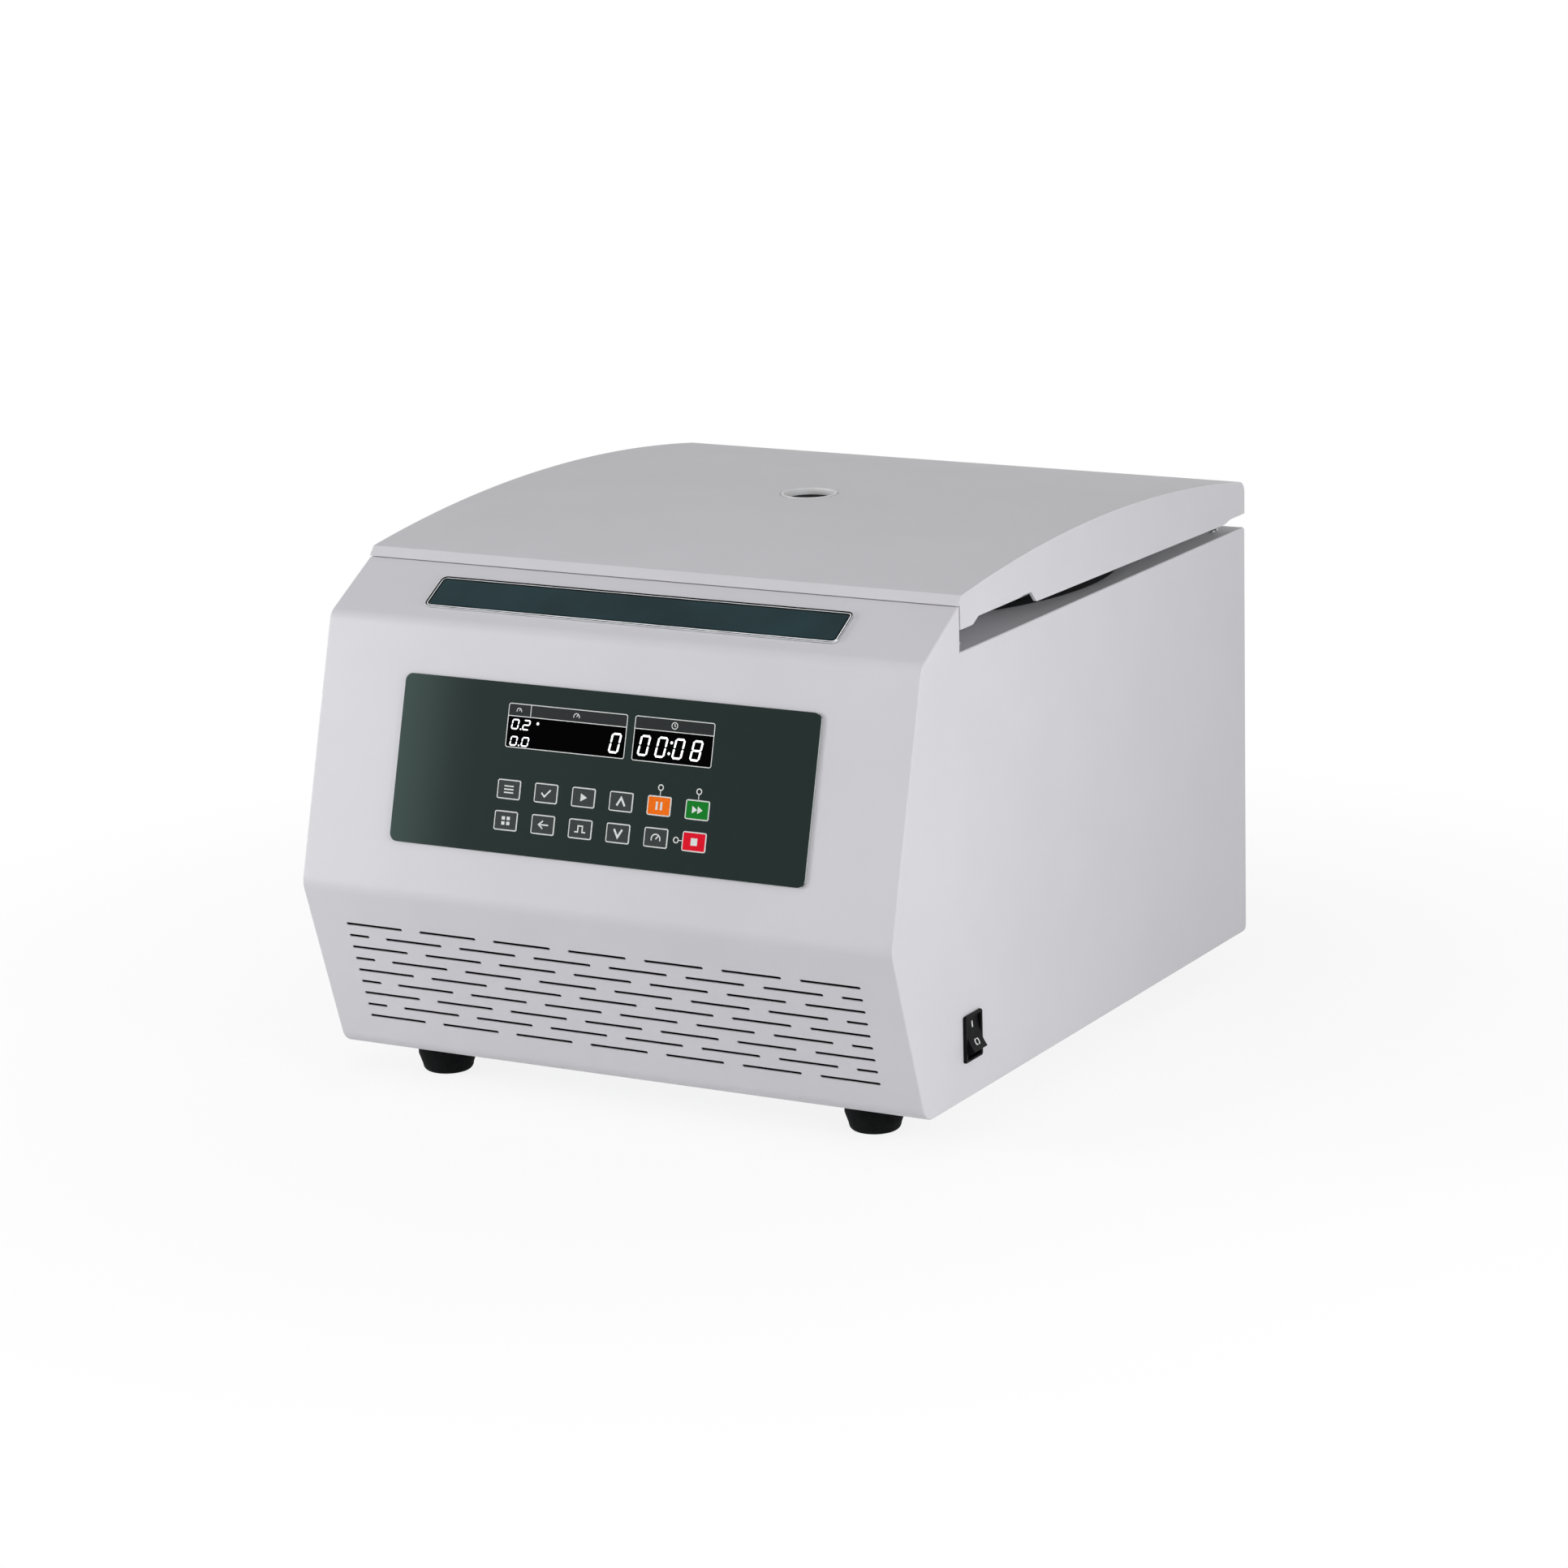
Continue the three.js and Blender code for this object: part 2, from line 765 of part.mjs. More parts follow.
function makeDeck() {
  const front = browBack + seat;
  const depth = caseDepth - seat - front;
  const slotDepth = lockSlotBack - lockSlotFront;
  const holes = [
    ringOf(bowlRadius + bowlDeckGap, ringSides, 0, rotorY),
    rectangle(strikerWidth + 2 * strikerSlotGapX, slotDepth, 0, 0, lockSlotFront + slotDepth / 2),
  ];
  return plate(rectangle(insideWidth, depth, 0, 0, front + depth / 2), deckThickness, holes);
}

add("top_deck", makeDeck(), deckPaint).position.z = deckBottom;

function makeBowl() {
  const flangeRadius = bowlRadius + bowlFlangeWidth;
  const flangeBottom = deckTop + seat;
  const flangeTop = flangeBottom + bowlWall;
  const neckTop = bowlFloorTop + bowlNeckRise;
  return turned(
    [
      [bowlNeckRadius, bowlFloorBottom],
      [bowlRadius - bowlCornerRise, bowlFloorBottom],
      [bowlRadius, bowlFloorBottom + bowlCornerRise],
      [bowlRadius, flangeBottom],
      [flangeRadius, flangeBottom],
      [flangeRadius, flangeTop],
      [bowlInnerRadius, flangeTop],
      [bowlInnerRadius, bowlFloorTop + bowlCornerRise],
      [bowlInnerRadius - bowlCornerRise, bowlFloorTop],
      [bowlNeckRadius + bowlWall, bowlFloorTop],
      [bowlNeckRadius + bowlWall, neckTop],
      [bowlNeckRadius, neckTop],
    ],
    ringSides,
  );
}

add("chamber_bowl", makeBowl(), steel).position.y = rotorY;

// The seal stands on the deck round the bowl's flange, and its lip reaches in over it.
function makeSeal() {
  const footInner = sealRadius - sealFootWidth;
  const lipInner = sealRadius - sealLipWidth;
  const lipBottom = sealTop - sealLipThickness;
  return turned(
    [
      [footInner, deckTop + seat],
      [sealRadius, deckTop + seat],
      [sealRadius, sealTop - sealBevel],
      [sealRadius - sealBevel, sealTop],
      [lipInner + sealBevel, sealTop],
      [lipInner, sealTop - sealBevel],
      [lipInner, lipBottom],
      [footInner, lipBottom],
    ],
    ringSides,
  );
}

add("chamber_seal", makeSeal(), rubber).position.y = rotorY;

// Lid

function lidCurveZ(y, inset = 0) {
  const radius = lidArcRadius - inset;
  const run = y - lidPeakY;
  return lidTop - inset - radius + Math.sqrt(radius * radius - run * run);
}

function lidCurve(fromY, toY, inset = 0) {
  const points = [];
  for (let k = 0; k <= lidArcSteps; k += 1) {
    const y = THREE.MathUtils.lerp(fromY, toY, k / lidArcSteps);
    points.push([y, lidCurveZ(y, inset), 0]);
  }
  return points;
}

// Front lip, crowned top, rounded back and the lower edge with its leg, notch and step.
function lidOutline() {
  const legEnd = lidFront + legLength;
  const notchStart = legEnd + legSlope;
  const notchEnd = notchStart + notchLength;
  const heelStart = lidBack - heelLength;
  const back = sideHeight + skirtBackDrop;
  const curve = lidCurve(lidBrowY, lidBack - lidBackRadius);
  return roundedLoop([
    [lidFront, lidLipZ, 0],
    [browSetback, lidLipZ, 0],
    ...curve,
    [lidBack, lidCurveZ(lidBack) - lidBackInset, lidBackRadius - overrun],
    [lidBack, back + heelLift, heelLift / 2],
    [heelStart, back + heelLift, heelLift],
    [heelStart - heelSlope, back, heelLift],
    [notchEnd + stepSlope, sideHeight + skirtFrontDrop, heelLift],
    [notchEnd, sideHeight + notchDrop, heelLift / 2],
    [notchStart, sideHeight + notchDrop, legSlope / 4],
    [legEnd, sideHeight + legDrop, legSlope / 2],
    [lidFront, sideHeight + legDrop, 0],
  ]);
}

function lidHollow() {
  const front = lidFront + lidWall;
  const back = lidBack - lidWall;
  const outline = [[front, sideHeight, 0], ...lidCurve(front, back, lidWall), [back, sideHeight, 0]];
  return acrossX(roundedLoop(outline), caseWidth - 2 * lidWall);
}

function lidBoss(x, y) {
  return rod(bossRadius, lidCurveZ(y) - lidWall / 2 - linerTop - seat, 10).translate(x, y, linerTop + seat);
}

function makeLidCover() {
  const bosses = [];
  const bossX = caseWidth / 2 - bossSideInset;
  for (const x of [-bossX, bossX]) {
    bosses.push(lidBoss(x, lidFront + bossFrontInset), lidBoss(x, lidBack - bossBackInset));
  }
  const sightHole = rod(sightRadius + seat, lidTop, 24).translate(0, sightY, linerTop);
  const shell = solid(acrossX(lidOutline(), caseWidth)).subtract(solid(lidHollow()));
  return shape(shell.add(joined(bosses)).subtract(solid(sightHole)));
}

add("lid_cover", makeLidCover(), paint);

const leafFront = hingeY - hingeLeafSetback;
const linerSideBack = leafFront - linerTabGap;

function makeLidLiner() {
  const half = caseWidth / 2 - linerMargin;
  const front = lidFront + lidWall + linerFrontGap;
  const tabHalf = hingeX - hingeLeafWidth / 2 - linerTabGap;
  const tabBack = rotorY + sealRadius + linerTabGap;
  const outline = [
    [-half, front],
    [half, front],
    [half, linerSideBack],
    [tabHalf, linerSideBack],
    [tabHalf, tabBack],
    [-tabHalf, tabBack],
    [-tabHalf, linerSideBack],
    [-half, linerSideBack],
  ].map(([x, y]) => new THREE.Vector2(x, y));
  return plate(outline, linerThickness, [ringOf(sightRadius + seat, 24, 0, sightY)]);
}

add("lid_liner", makeLidLiner(), deckPaint).position.z = linerBottom;

const sightTop = lidTop + sightProud;
const sightGlassTop = sightTop - sightRecess;
const sightGlassBottom = sightGlassTop - sightGlassThickness;
const sightBore = sightRadius - sightRimWidth;

function makeSightRing() {
  const shoulderTop = sightGlassBottom - seat;
  const bottom = linerBottom + seat;
  return turned(
    [
      [sightBore - sightShoulder, bottom],
      [sightRadius, bottom],
      [sightRadius, sightTop],
      [sightBore, sightTop],
      [sightBore, shoulderTop],
      [sightBore - sightShoulder, shoulderTop],
    ],
    24,
  );
}

add("sight_ring", makeSightRing(), aluminium).position.y = sightY;
add("sight_glass", rod(sightBore - seat, sightGlassThickness, 24), glass).position.set(0, sightY, sightGlassBottom);

// Hinges. Outlines are in Y and Z about the pin.

const hingeFloor = deckTop + seat - hingeZ;
const leafTop = hingeFloor + hingeLeafThickness;

function headArc(radius, fromTurn, toTurn) {
  const points = [];
  const steps = 8;
  for (let k = 0; k <= steps; k += 1) {
    const turn = THREE.MathUtils.lerp(fromTurn, toTurn, k / steps);
    points.push(new THREE.Vector2(radius * Math.cos(turn), radius * Math.sin(turn)));
  }
  return points;
}

// Each ear leans back from the leaf to the pin, clear of the lid's rear edge as it turns.
function makeHingeLeaf() {
  const leafBack = -hingeLeafSetback + hingeLeafDepth;
  const ear = [
    new THREE.Vector2(leafBack - 2 * hingeHeadRadius, hingeFloor),
    new THREE.Vector2(leafBack, hingeFloor),
    new THREE.Vector2(leafBack + hingeLeafThickness, -hingeHeadRadius),
    ...headArc(hingeHeadRadius, -Math.PI / 2, (3 * Math.PI) / 4),
  ];
  const leaf = block(hingeLeafWidth, hingeLeafDepth, hingeLeafThickness);
  leaf.translate(0, -hingeLeafSetback + hingeLeafDepth / 2, hingeFloor);
  const earX = (hingeEarGap + hingeEarThickness) / 2;
  const ears = [-earX, earX].map((x) => acrossX(ear, hingeEarThickness).translate(x, 0, 0));
  const bore = rodX(hingePinRadius + seat, hingeLeafWidth);
  return shape(joined([leaf, ...ears]).subtract(solid(bore)));
}

// A plate over the liner with one arm back to the pin, between the ears.
function makeLidBracket() {
  const bottom = linerTop + seat - hingeZ;
  const top = bottom + bracketThickness;
  const arm = [
    new THREE.Vector2(-bracketReach + bracketThickness, bottom),
    new THREE.Vector2(-2 * hingeHeadRadius, bottom),
    ...headArc(hingeHeadRadius, -(3 * Math.PI) / 4, Math.PI / 2),
    new THREE.Vector2(-hingeHeadRadius, top),
    new THREE.Vector2(-bracketReach + bracketThickness, top),
  ];
  const base = block(hingeLeafWidth, bracketPlateDepth, bracketThickness);
  base.translate(0, -bracketReach + bracketPlateDepth / 2, bottom);
  const bore = rodX(hingePinRadius + seat, hingeLeafWidth);
  return shape(joined([base, acrossX(arm, bracketArmWidth)]).subtract(solid(bore)));
}

for (const [side, sign] of [["left", -1], ["right", 1]]) {
  const hinge = groupAt(sign * hingeX, hingeY, hingeZ);
  add(`hinge_leaf_${side}`, makeHingeLeaf(), steel, hinge);
  add(`hinge_pin_${side}`, rodX(hingePinRadius, hingePinLength), steel, hinge);
  add(`lid_bracket_${side}`, makeLidBracket(), steel, hinge);
}

// Lid lock: a striker on the lid drops through the deck, and a bolt slides through its window.

const strikerTop = linerBottom - seat;
const strikerBottom = strikerTop - strikerDrop;
const boltZ = strikerBottom + strikerFoot + strikerWindowHeight / 2;
const lockTop = deckBottom - seat;
const lockFront = lockSlotBack + seat;

function makeStriker() {
  const tongue = block(strikerWidth, strikerThickness, strikerDrop).translate(0, strikerY, strikerBottom);
  const flange = block(strikerWidth, strikerFlangeDepth, strikerThickness);
  flange.translate(0, strikerY - strikerThickness / 2 + strikerFlangeDepth / 2, strikerTop - strikerThickness);
  const window = block(strikerWindowWidth, 2 * strikerThickness, strikerWindowHeight);
  window.translate(0, strikerY, strikerBottom + strikerFoot);
  return shape(joined([tongue, flange]).subtract(solid(window)));
}

add("lid_striker", makeStriker(), steel);

function makeLockHousing() {
  const body = block(lockWidth, lockDepth, lockHeight).translate(0, lockFront + lockDepth / 2, lockTop - lockHeight);
  const bore = boltSize + 2 * seat;
  const channel = block(bore, lockDepth + 2 * overrun, bore);
  return cut(body, [channel.translate(0, lockFront + lockDepth / 2, boltZ - bore / 2)]);
}

add("lock_housing", makeLockHousing(), darkMetal);
add("lock_bolt", block(boltSize, boltLength, boltSize), steel).position.set(
  0,
  strikerY + strikerThickness / 2 + boltSetback + boltLength / 2,
  boltZ - boltSize / 2,
);

// Motor on three rubber mounts

function makeMount() {
  const waist = [mountWaistRadius, mountHeight / 2];
  return turned([[0, 0], [mountRadius, 0], waist, [mountRadius, mountHeight], [0, mountHeight]], 12);
}

for (let k = 0; k < mountCount; k += 1) {
  const turn = (2 * Math.PI * k) / mountCount - Math.PI / 2;
  const place = [mountCircle * Math.cos(turn), rotorY + mountCircle * Math.sin(turn), mountBottom];
  add(`motor_mount_${k + 1}`, makeMount(), rubber).position.set(...place);
}

add("motor_plate", rod(motorPlateRadius, motorPlateThickness, 24), aluminium).position.set(
  0,
  rotorY,
  motorPlateBottom,
);

function makeMotor() {
  const height = motorTop - motorBottom;
  return turned(
    [
      [0, 0],
      [motorRadius, 0],
      [motorRadius, height - motorEndHeight],
      [motorEndRadius, height],
      [0, height],
    ],
    24,
  );
}

add("motor_body", makeMotor(), darkMetal).position.set(0, rotorY, motorBottom);

// Rotor, about its own axis with heights from the trunnions

const rotor = groupAt(0, rotorY, pivotZ);
const yokeTop = yokeAbovePivot + yokeHubRise;
const shaftTop = yokeTop + seat + threadLength;

function makeShaft() {
  const bottom = motorTop + seat - pivotZ;
  const collarTop = -yokeBelowPivot - seat;
  const collarBottom = collarTop - shaftCollarHeight;
  return turned(
    [
      [0, bottom],
      [shaftLowerRadius, bottom],
      [shaftLowerRadius, collarBottom],
      [shaftCollarRadius, collarBottom],
      [shaftCollarRadius, collarTop],
      [shaftRadius, collarTop],
      [shaftRadius, shaftTop],
      [0, shaftTop],
    ],
    16,
  );
}

// Four crossed bars with an open half-round seat for each trunnion near their ends.
function makeYoke() {
  const height = yokeBelowPivot + yokeAbovePivot;
  const barX = bucketRadius + yokeGap + yokeBarWidth / 2;
  const length = 2 * (pivotRadius + yokeBarReach);
  const parts = [rod(yokeHubRadius, height + yokeHubRise, 24)];
  const cutters = [];
  const core = 2 * (bucketRadius + yokeGap) + yokeBarWidth;
  parts.push(block(core, core, height));
  for (const x of [-barX, barX]) {
    parts.push(block(yokeBarWidth, length, height).translate(x, 0, 0));
    parts.push(block(length, yokeBarWidth, height).translate(0, x, 0));
    for (const y of [-pivotRadius, pivotRadius]) {
      const slot = trunnionRadius + seat;
      const wide = yokeBarWidth + 2 * overrun;
      cutters.push(rodX(slot, wide).translate(x, y, yokeBelowPivot));
      cutters.push(block(wide, 2 * slot, height).translate(x, y, yokeBelowPivot));
      cutters.push(rodX(slot, wide).rotateZ(Math.PI / 2).translate(y, x, yokeBelowPivot));
      cutters.push(block(2 * slot, wide, height).translate(y, x, yokeBelowPivot));
    }
  }
  cutters.push(rod(shaftRadius + seat, 2 * height, 16).translate(0, 0, -overrun));
  return shape(joined(parts).subtract(joined(cutters))).translate(0, 0, -yokeBelowPivot);
}

function makeNut() {
  const bore = shaftRadius + seat;
  const boreTop = threadLength + seat;
  return turned(
    [
      [bore, 0],
      [nutRadius, 0],
      [nutRadius, nutGripHeight],
      [nutTopRadius, nutHeight],
      [0, nutHeight],
      [0, boreTop],
      [bore, boreTop],
    ],
    16,
  );
}

add("motor_shaft", makeShaft(), steel, rotor);
add("rotor_yoke", makeYoke(), aluminium, rotor);
add("rotor_nut", makeNut(), darkMetal, rotor).position.z = yokeTop + seat;

// A cup with a trunnion on each side, hanging straight down. X points away from the rotor's axis.
function makeBucket() {
  const cup = turned(
    [
      [0, -bucketDrop],
      [bucketFootRadius, -bucketDrop],
      [bucketRadius, -bucketDrop + bucketFootRise],
      [bucketRadius, bucketTopRise],
      [0, bucketTopRise],
    ],
    bucketSides,
  );
  const trunnions = rodX(trunnionRadius, 2 * trunnionReach, 12).rotateZ(Math.PI / 2);
  const inner = turned(
    [
      [0, -bucketDrop + bucketFloor],
      [bucketFootRadius - bucketWall, -bucketDrop + bucketFloor],
      [bucketRadius - bucketWall, -bucketDrop + bucketFloor + bucketFootRise],
      [bucketRadius - bucketWall, bucketTopRise + overrun],
      [0, bucketTopRise + overrun],
    ],
    bucketSides,
  );
  return shape(joined([cup, trunnions]).subtract(solid(inner)));
}

for (let k = 0; k < bucketCount; k += 1) {
  const turn = (2 * Math.PI * k) / bucketCount;
  const bucket = add(`bucket_${k + 1}`, makeBucket(), aluminium, rotor);
  bucket.position.set(pivotRadius * Math.cos(turn), pivotRadius * Math.sin(turn), 0);
  bucket.rotation.z = turn;
}

// Electrics inside and at the back

function makePowerBoard() {
  const parts = [block(supplyWidth, supplyDepth, boardThickness).translate(0, 0, supplyPostHeight)];
  for (const x of [-1, 1]) {
    for (const y of [-1, 1]) {
      const post = rod(boardPostRadius, supplyPostHeight + boardThickness, 8);
      post.translate(x * (supplyWidth / 2 - 2 * boardPostRadius), y * (supplyDepth / 2 - 2 * boardPostRadius), 0);
      parts.push(post);
    }
  }
  const transformer = block(supplyPartWidth, supplyPartDepth, supplyPartHeight);
  parts.push(transformer.translate(0, -supplyDepth / 6, supplyPostHeight));
  return shape(joined(parts));
}

add("power_board", makePowerBoard(), circuit).position.set(
  supplySideGap + supplyWidth / 2 - innerHalfWidth,
  rearPanelFace - rearPanelThickness - supplyRearGap - supplyDepth / 2,
  basePlateThickness + seat,
);

// A socket with three blades, let into the rear panel from outside. Outlines are in X and Z.
function makeMainsInlet() {
  const flange = acrossY(rectangle(inletFlangeWidth, inletFlangeHeight, 0), inletFlangeThickness);
  flange.translate(0, inletFlangeThickness / 2, 0);
  const body = acrossY(rectangle(inletBodyWidth, inletBodyHeight, 0), inletBodyDepth);
  body.translate(0, inletFlangeThickness - inletBodyDepth / 2, 0);
  const socketWidth = inletBodyWidth - 2 * inletWall;
  const socketHeight = inletBodyHeight - 2 * inletWall;
  const socket = acrossY(rectangle(socketWidth, socketHeight, 0), inletSocketDepth + overrun);
  socket.translate(0, inletFlangeThickness + overrun - (inletSocketDepth + overrun) / 2, 0);
  const floorY = inletFlangeThickness - inletSocketDepth;
  const places = [[-inletPinSpread / 2, -inletPinDrop / 2], [0, inletPinDrop / 2], [inletPinSpread / 2, -inletPinDrop / 2]];
  const blades = places.map(([x, z]) => {
    const blade = acrossY(rectangle(inletPinWidth, inletPinHeight, 0), inletPinLength + inletWall);
    return blade.translate(x, floorY - inletWall + (inletPinLength + inletWall) / 2, z);
  });
  return shape(joined([flange, body]).subtract(solid(socket)).add(joined(blades)));
}

add("mains_inlet", makeMainsInlet(), blackPlastic).position.set(inletX, rearPanelFace + seat, inletZ);

// Mains switch, in a frame on the side wall's face

const mainsSwitch = groupAt(caseWidth / 2, switchY, switchZ);

function makeSwitchFrame() {
  const bezel = acrossX(rectangle(bezelWidth, bezelHeight, 0), bezelThickness);
  bezel.translate(seat + bezelThickness / 2, 0, 0);
  const depth = switchBodyDepth + seat + bezelThickness;
  const body = acrossX(rectangle(switchBodyWidth, switchBodyHeight, 0), depth);
  body.translate(seat + bezelThickness - depth / 2, 0, 0);
  const wellDepth = depth - switchBackWall + overrun;
  const well = acrossX(rectangle(switchWindowWidth, switchWindowHeight, 0), wellDepth);
  well.translate(seat + bezelThickness + overrun - wellDepth / 2, 0, 0);
  return shape(joined([bezel, body]).subtract(solid(well)));
}

// The rocker's outline is symmetric about its middle, then tilted until the upper end is pressed in.
function makeRocker() {
  const half = [
    [rockerFaceRise, rockerHalfHeight],
    [rockerFaceRise - rockerEndDepth, rockerHalfHeight],
    [-rockerEndDepth / 2, rockerHalfHeight - rockerKeelInset / 5],
    [-rockerKeelDepth, rockerHalfHeight - rockerKeelInset],
  ].map(([out, up]) => new THREE.Vector2(out, up).rotateAround(new THREE.Vector2(), -rockerTilt));
  const mirrored = half.map(({ x, y }) => new THREE.Vector2(x, -y)).reverse();
  const outline = [new THREE.Vector2(rockerMiddleRise, 0), ...half, ...mirrored];
  const origin = new THREE.Vector2();
  return acrossY(outline.map((point) => point.rotateAround(origin, rockerTilt)), rockerWidth);
}

add("switch_frame", makeSwitchFrame(), blackPlastic, mainsSwitch);
add("switch_rocker", makeRocker(), blackPlastic, mainsSwitch).position.x = -rockerPivotDepth;

export default centrifuge;
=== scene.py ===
"""The looks of a low-speed bench centrifuge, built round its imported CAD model."""

import math

import bmesh
import bpy
from mathutils import Matrix, Vector


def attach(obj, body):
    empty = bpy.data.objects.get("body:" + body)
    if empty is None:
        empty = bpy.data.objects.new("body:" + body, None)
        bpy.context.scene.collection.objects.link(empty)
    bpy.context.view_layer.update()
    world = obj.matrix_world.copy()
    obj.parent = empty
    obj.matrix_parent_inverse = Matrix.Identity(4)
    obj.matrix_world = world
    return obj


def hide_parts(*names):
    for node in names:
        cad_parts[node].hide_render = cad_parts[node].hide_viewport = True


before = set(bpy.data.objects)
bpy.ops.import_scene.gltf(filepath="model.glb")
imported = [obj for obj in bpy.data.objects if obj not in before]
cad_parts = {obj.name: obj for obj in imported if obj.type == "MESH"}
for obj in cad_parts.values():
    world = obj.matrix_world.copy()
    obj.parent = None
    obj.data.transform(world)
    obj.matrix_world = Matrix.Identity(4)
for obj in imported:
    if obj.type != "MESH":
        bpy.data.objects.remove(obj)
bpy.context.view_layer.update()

# Millimetres. X runs from the middle, depths from the foremost bend of the case,
# heights from its underside, all as in the CAD model.
MM = 0.001
WALL = 2
HALF_WIDTH = 200
INNER_HALF = HALF_WIDTH - WALL
DEPTH = 493
SIDE_HEIGHT = 266.8
FOOT_HEIGHT = 19.6
GAP = 0.3
TOE = (38, 0)
LOW_BEND = (0, 110.5)
HIGH_BEND = (43.5, 268.1)
BROW = (89.2, 293.5)
BROW_BACK = 91.2
BROW_FLANGE = 8
TOE_RADIUS = 13
LOW_BEND_RADIUS = 14
HIGH_BEND_RADIUS = 10
HEEL_RADIUS = 4
TOP_REAR_RADIUS = 2.5
TOE_LIP = 24
REAR_FACE = 490

# Slots of the low front face
SLOT_ROWS = 9
SLOTS_IN_ROW = 7
SLOT_HEIGHT = 2
SLOT_LENGTH = 39.6
SLOT_PITCH = 51.7
SLOT_END_LENGTH = 14.2
SLOT_ROW_PITCH = 8.35
SLOT_FIRST_ROW = 23.9

# Control panel, counted up the main face
PANEL_SIZE = (281.2, 100.6)
PANEL_RISE = 31.5
PANEL_FACE = 1.5
DISPLAY_RISE = 75.7
DISPLAY_HEIGHT = 26.2
DISPLAY_DEPTH = 9
DISPLAYS = {"speed": (-26.6, 81.2), "time": (45.6, 53.4)}
KEY_SIZE = (15.8, 11.5)
KEY_FIRST_X = -61.3
KEY_PITCH = 25.5
KEY_RISES = (37.9, 19.4)
KEY_PROUD = 0.25
KEY_THICKNESS = 0.95
PRINT_HEIGHT = 0.05

# Name strip on the upper face
STRIP_SIZE = (279.6, 27.3)
STRIP_RISE = 12.2 + 27.3 / 2
STRIP_RADIUS = 4

# Deck, chamber and rotor
DECK_TOP = 266.3
DECK_BOTTOM = 264.3
ROTOR_Y = 292
SEAL_RADIUS = 188
SEAL_TOP = 278.5
BOWL_RADIUS = 170.2
BOWL_FLOOR = 111.8
PIVOT_Z = 212
PIVOT_RADIUS = 70
BUCKET_DROP = 90.2

# Lid
LID_FRONT = 92
LID_BACK = 492.5
LID_LIP = 294.2
LID_BROW = 94
LID_PEAK = 281
LID_TOP = 312.2
LID_CROWN = 12.6
LID_ARC = ((LID_PEAK - LID_BROW) ** 2 + LID_CROWN**2) / (2 * LID_CROWN)
LINER_BOTTOM = 278.8
LINER_TOP = 280.4
SIGHT_RADIUS = 17.7
SIGHT_BORE = 15.8
HINGE_X = 130
HINGE_PIN = (484, 278)

# Where the posts that hold the liner stand, across and along the lid
LID_POSTS = ((-150, 150), (130, 425))


# Selection and simple shapes


def only(*pieces):
    bpy.ops.object.select_all(action="DESELECT")
    for piece in pieces:
        piece.select_set(True)
    bpy.context.view_layer.objects.active = pieces[-1]


def open_mesh(piece, kind="VERT"):
    only(piece)
    bpy.ops.object.mode_set(mode="EDIT")
    bpy.ops.mesh.select_mode(type=kind)
    bpy.ops.mesh.select_all(action="SELECT")


def close_mesh():
    bpy.ops.object.mode_set(mode="OBJECT")


def pick(piece, kind, test):
    """Selects the edges (by both ends) or faces (by middle and direction) that pass the test."""
    bpy.ops.mesh.select_mode(type=kind)
    bpy.ops.mesh.select_all(action="DESELECT")
    mesh = bmesh.from_edit_mesh(piece.data)
    if kind == "EDGE":
        chosen = [e for e in mesh.edges if test(e.verts[0].co, e.verts[1].co)]
    else:
        chosen = [f for f in mesh.faces if test(f.calc_center_median(), f.normal)]
    for part in chosen:
        part.select_set(True)
    bmesh.update_edit_mesh(piece.data)
    return len(chosen)


def named(piece, name):
    piece.name = piece.data.name = name
    return piece


def made(name):
    return named(bpy.context.object, name)


def linked(name, data):
    """A new object of the scene that holds the data."""
    item = bpy.data.objects.new(name, data)
    bpy.context.scene.collection.objects.link(item)
    return item


def at(x, y, z=0):
    return Matrix.Translation((x, y, z))


def about(axis, angle):
    return Matrix.Rotation(angle, 4, axis)


def grid(widths, depths, height):
    """A place for every pair of a width and a depth."""
    return [at(x, y, height) for x in widths for y in depths]


def quarter(u, v, width, height, steps=8):
    """A quarter of an oval round the point (u, v), from under it to its right."""
    turns = [math.pi / 2 * k / steps for k in range(steps + 1)]
    return [(u + width * math.sin(t), v - height * math.cos(t)) for t in turns]


def settle(piece, place):
    """Puts a piece where the matrix says and leaves that place in its mesh."""
    only(piece)
    piece.matrix_world = place
    bpy.ops.object.transform_apply(location=True, rotation=True, scale=True)
    return piece


def draw(name, points):
    """A chain of edges through the points, pulled out of one corner."""
    bpy.ops.mesh.primitive_plane_add(size=1)
    piece = made(name)
    open_mesh(piece)
    bpy.ops.mesh.merge(type="CENTER")
    bpy.ops.transform.translate(value=points[0])
    for here, ahead in zip(points, points[1:]):
        bpy.ops.mesh.extrude_vertices_move(TRANSFORM_OT_translate={"value": ahead - here})
    bpy.ops.mesh.select_all(action="SELECT")
    return piece


def prism(name, points, along):
    """A closed outline, filled and pulled out by the vector along."""
    piece = draw(name, points)
    bpy.ops.mesh.edge_face_add()
    bpy.ops.mesh.extrude_region_move(TRANSFORM_OT_translate={"value": along})
    bpy.ops.mesh.select_all(action="SELECT")
    bpy.ops.mesh.normals_make_consistent(inside=False)
    close_mesh()
    return piece


def turn(name, profile, steps=96):
    """A profile of (radius, height), spun about the upright axis."""
    piece = draw(name, [Vector((radius, 0, height)) for radius, height in profile])
    bpy.ops.mesh.spin(steps=steps, angle=2 * math.pi, center=(0, 0, 0), axis=(0, 0, 1))
    bpy.ops.mesh.select_all(action="SELECT")
    bpy.ops.mesh.remove_doubles(threshold=0.001)
    bpy.ops.mesh.normals_make_consistent(inside=False)
    close_mesh()
    return piece


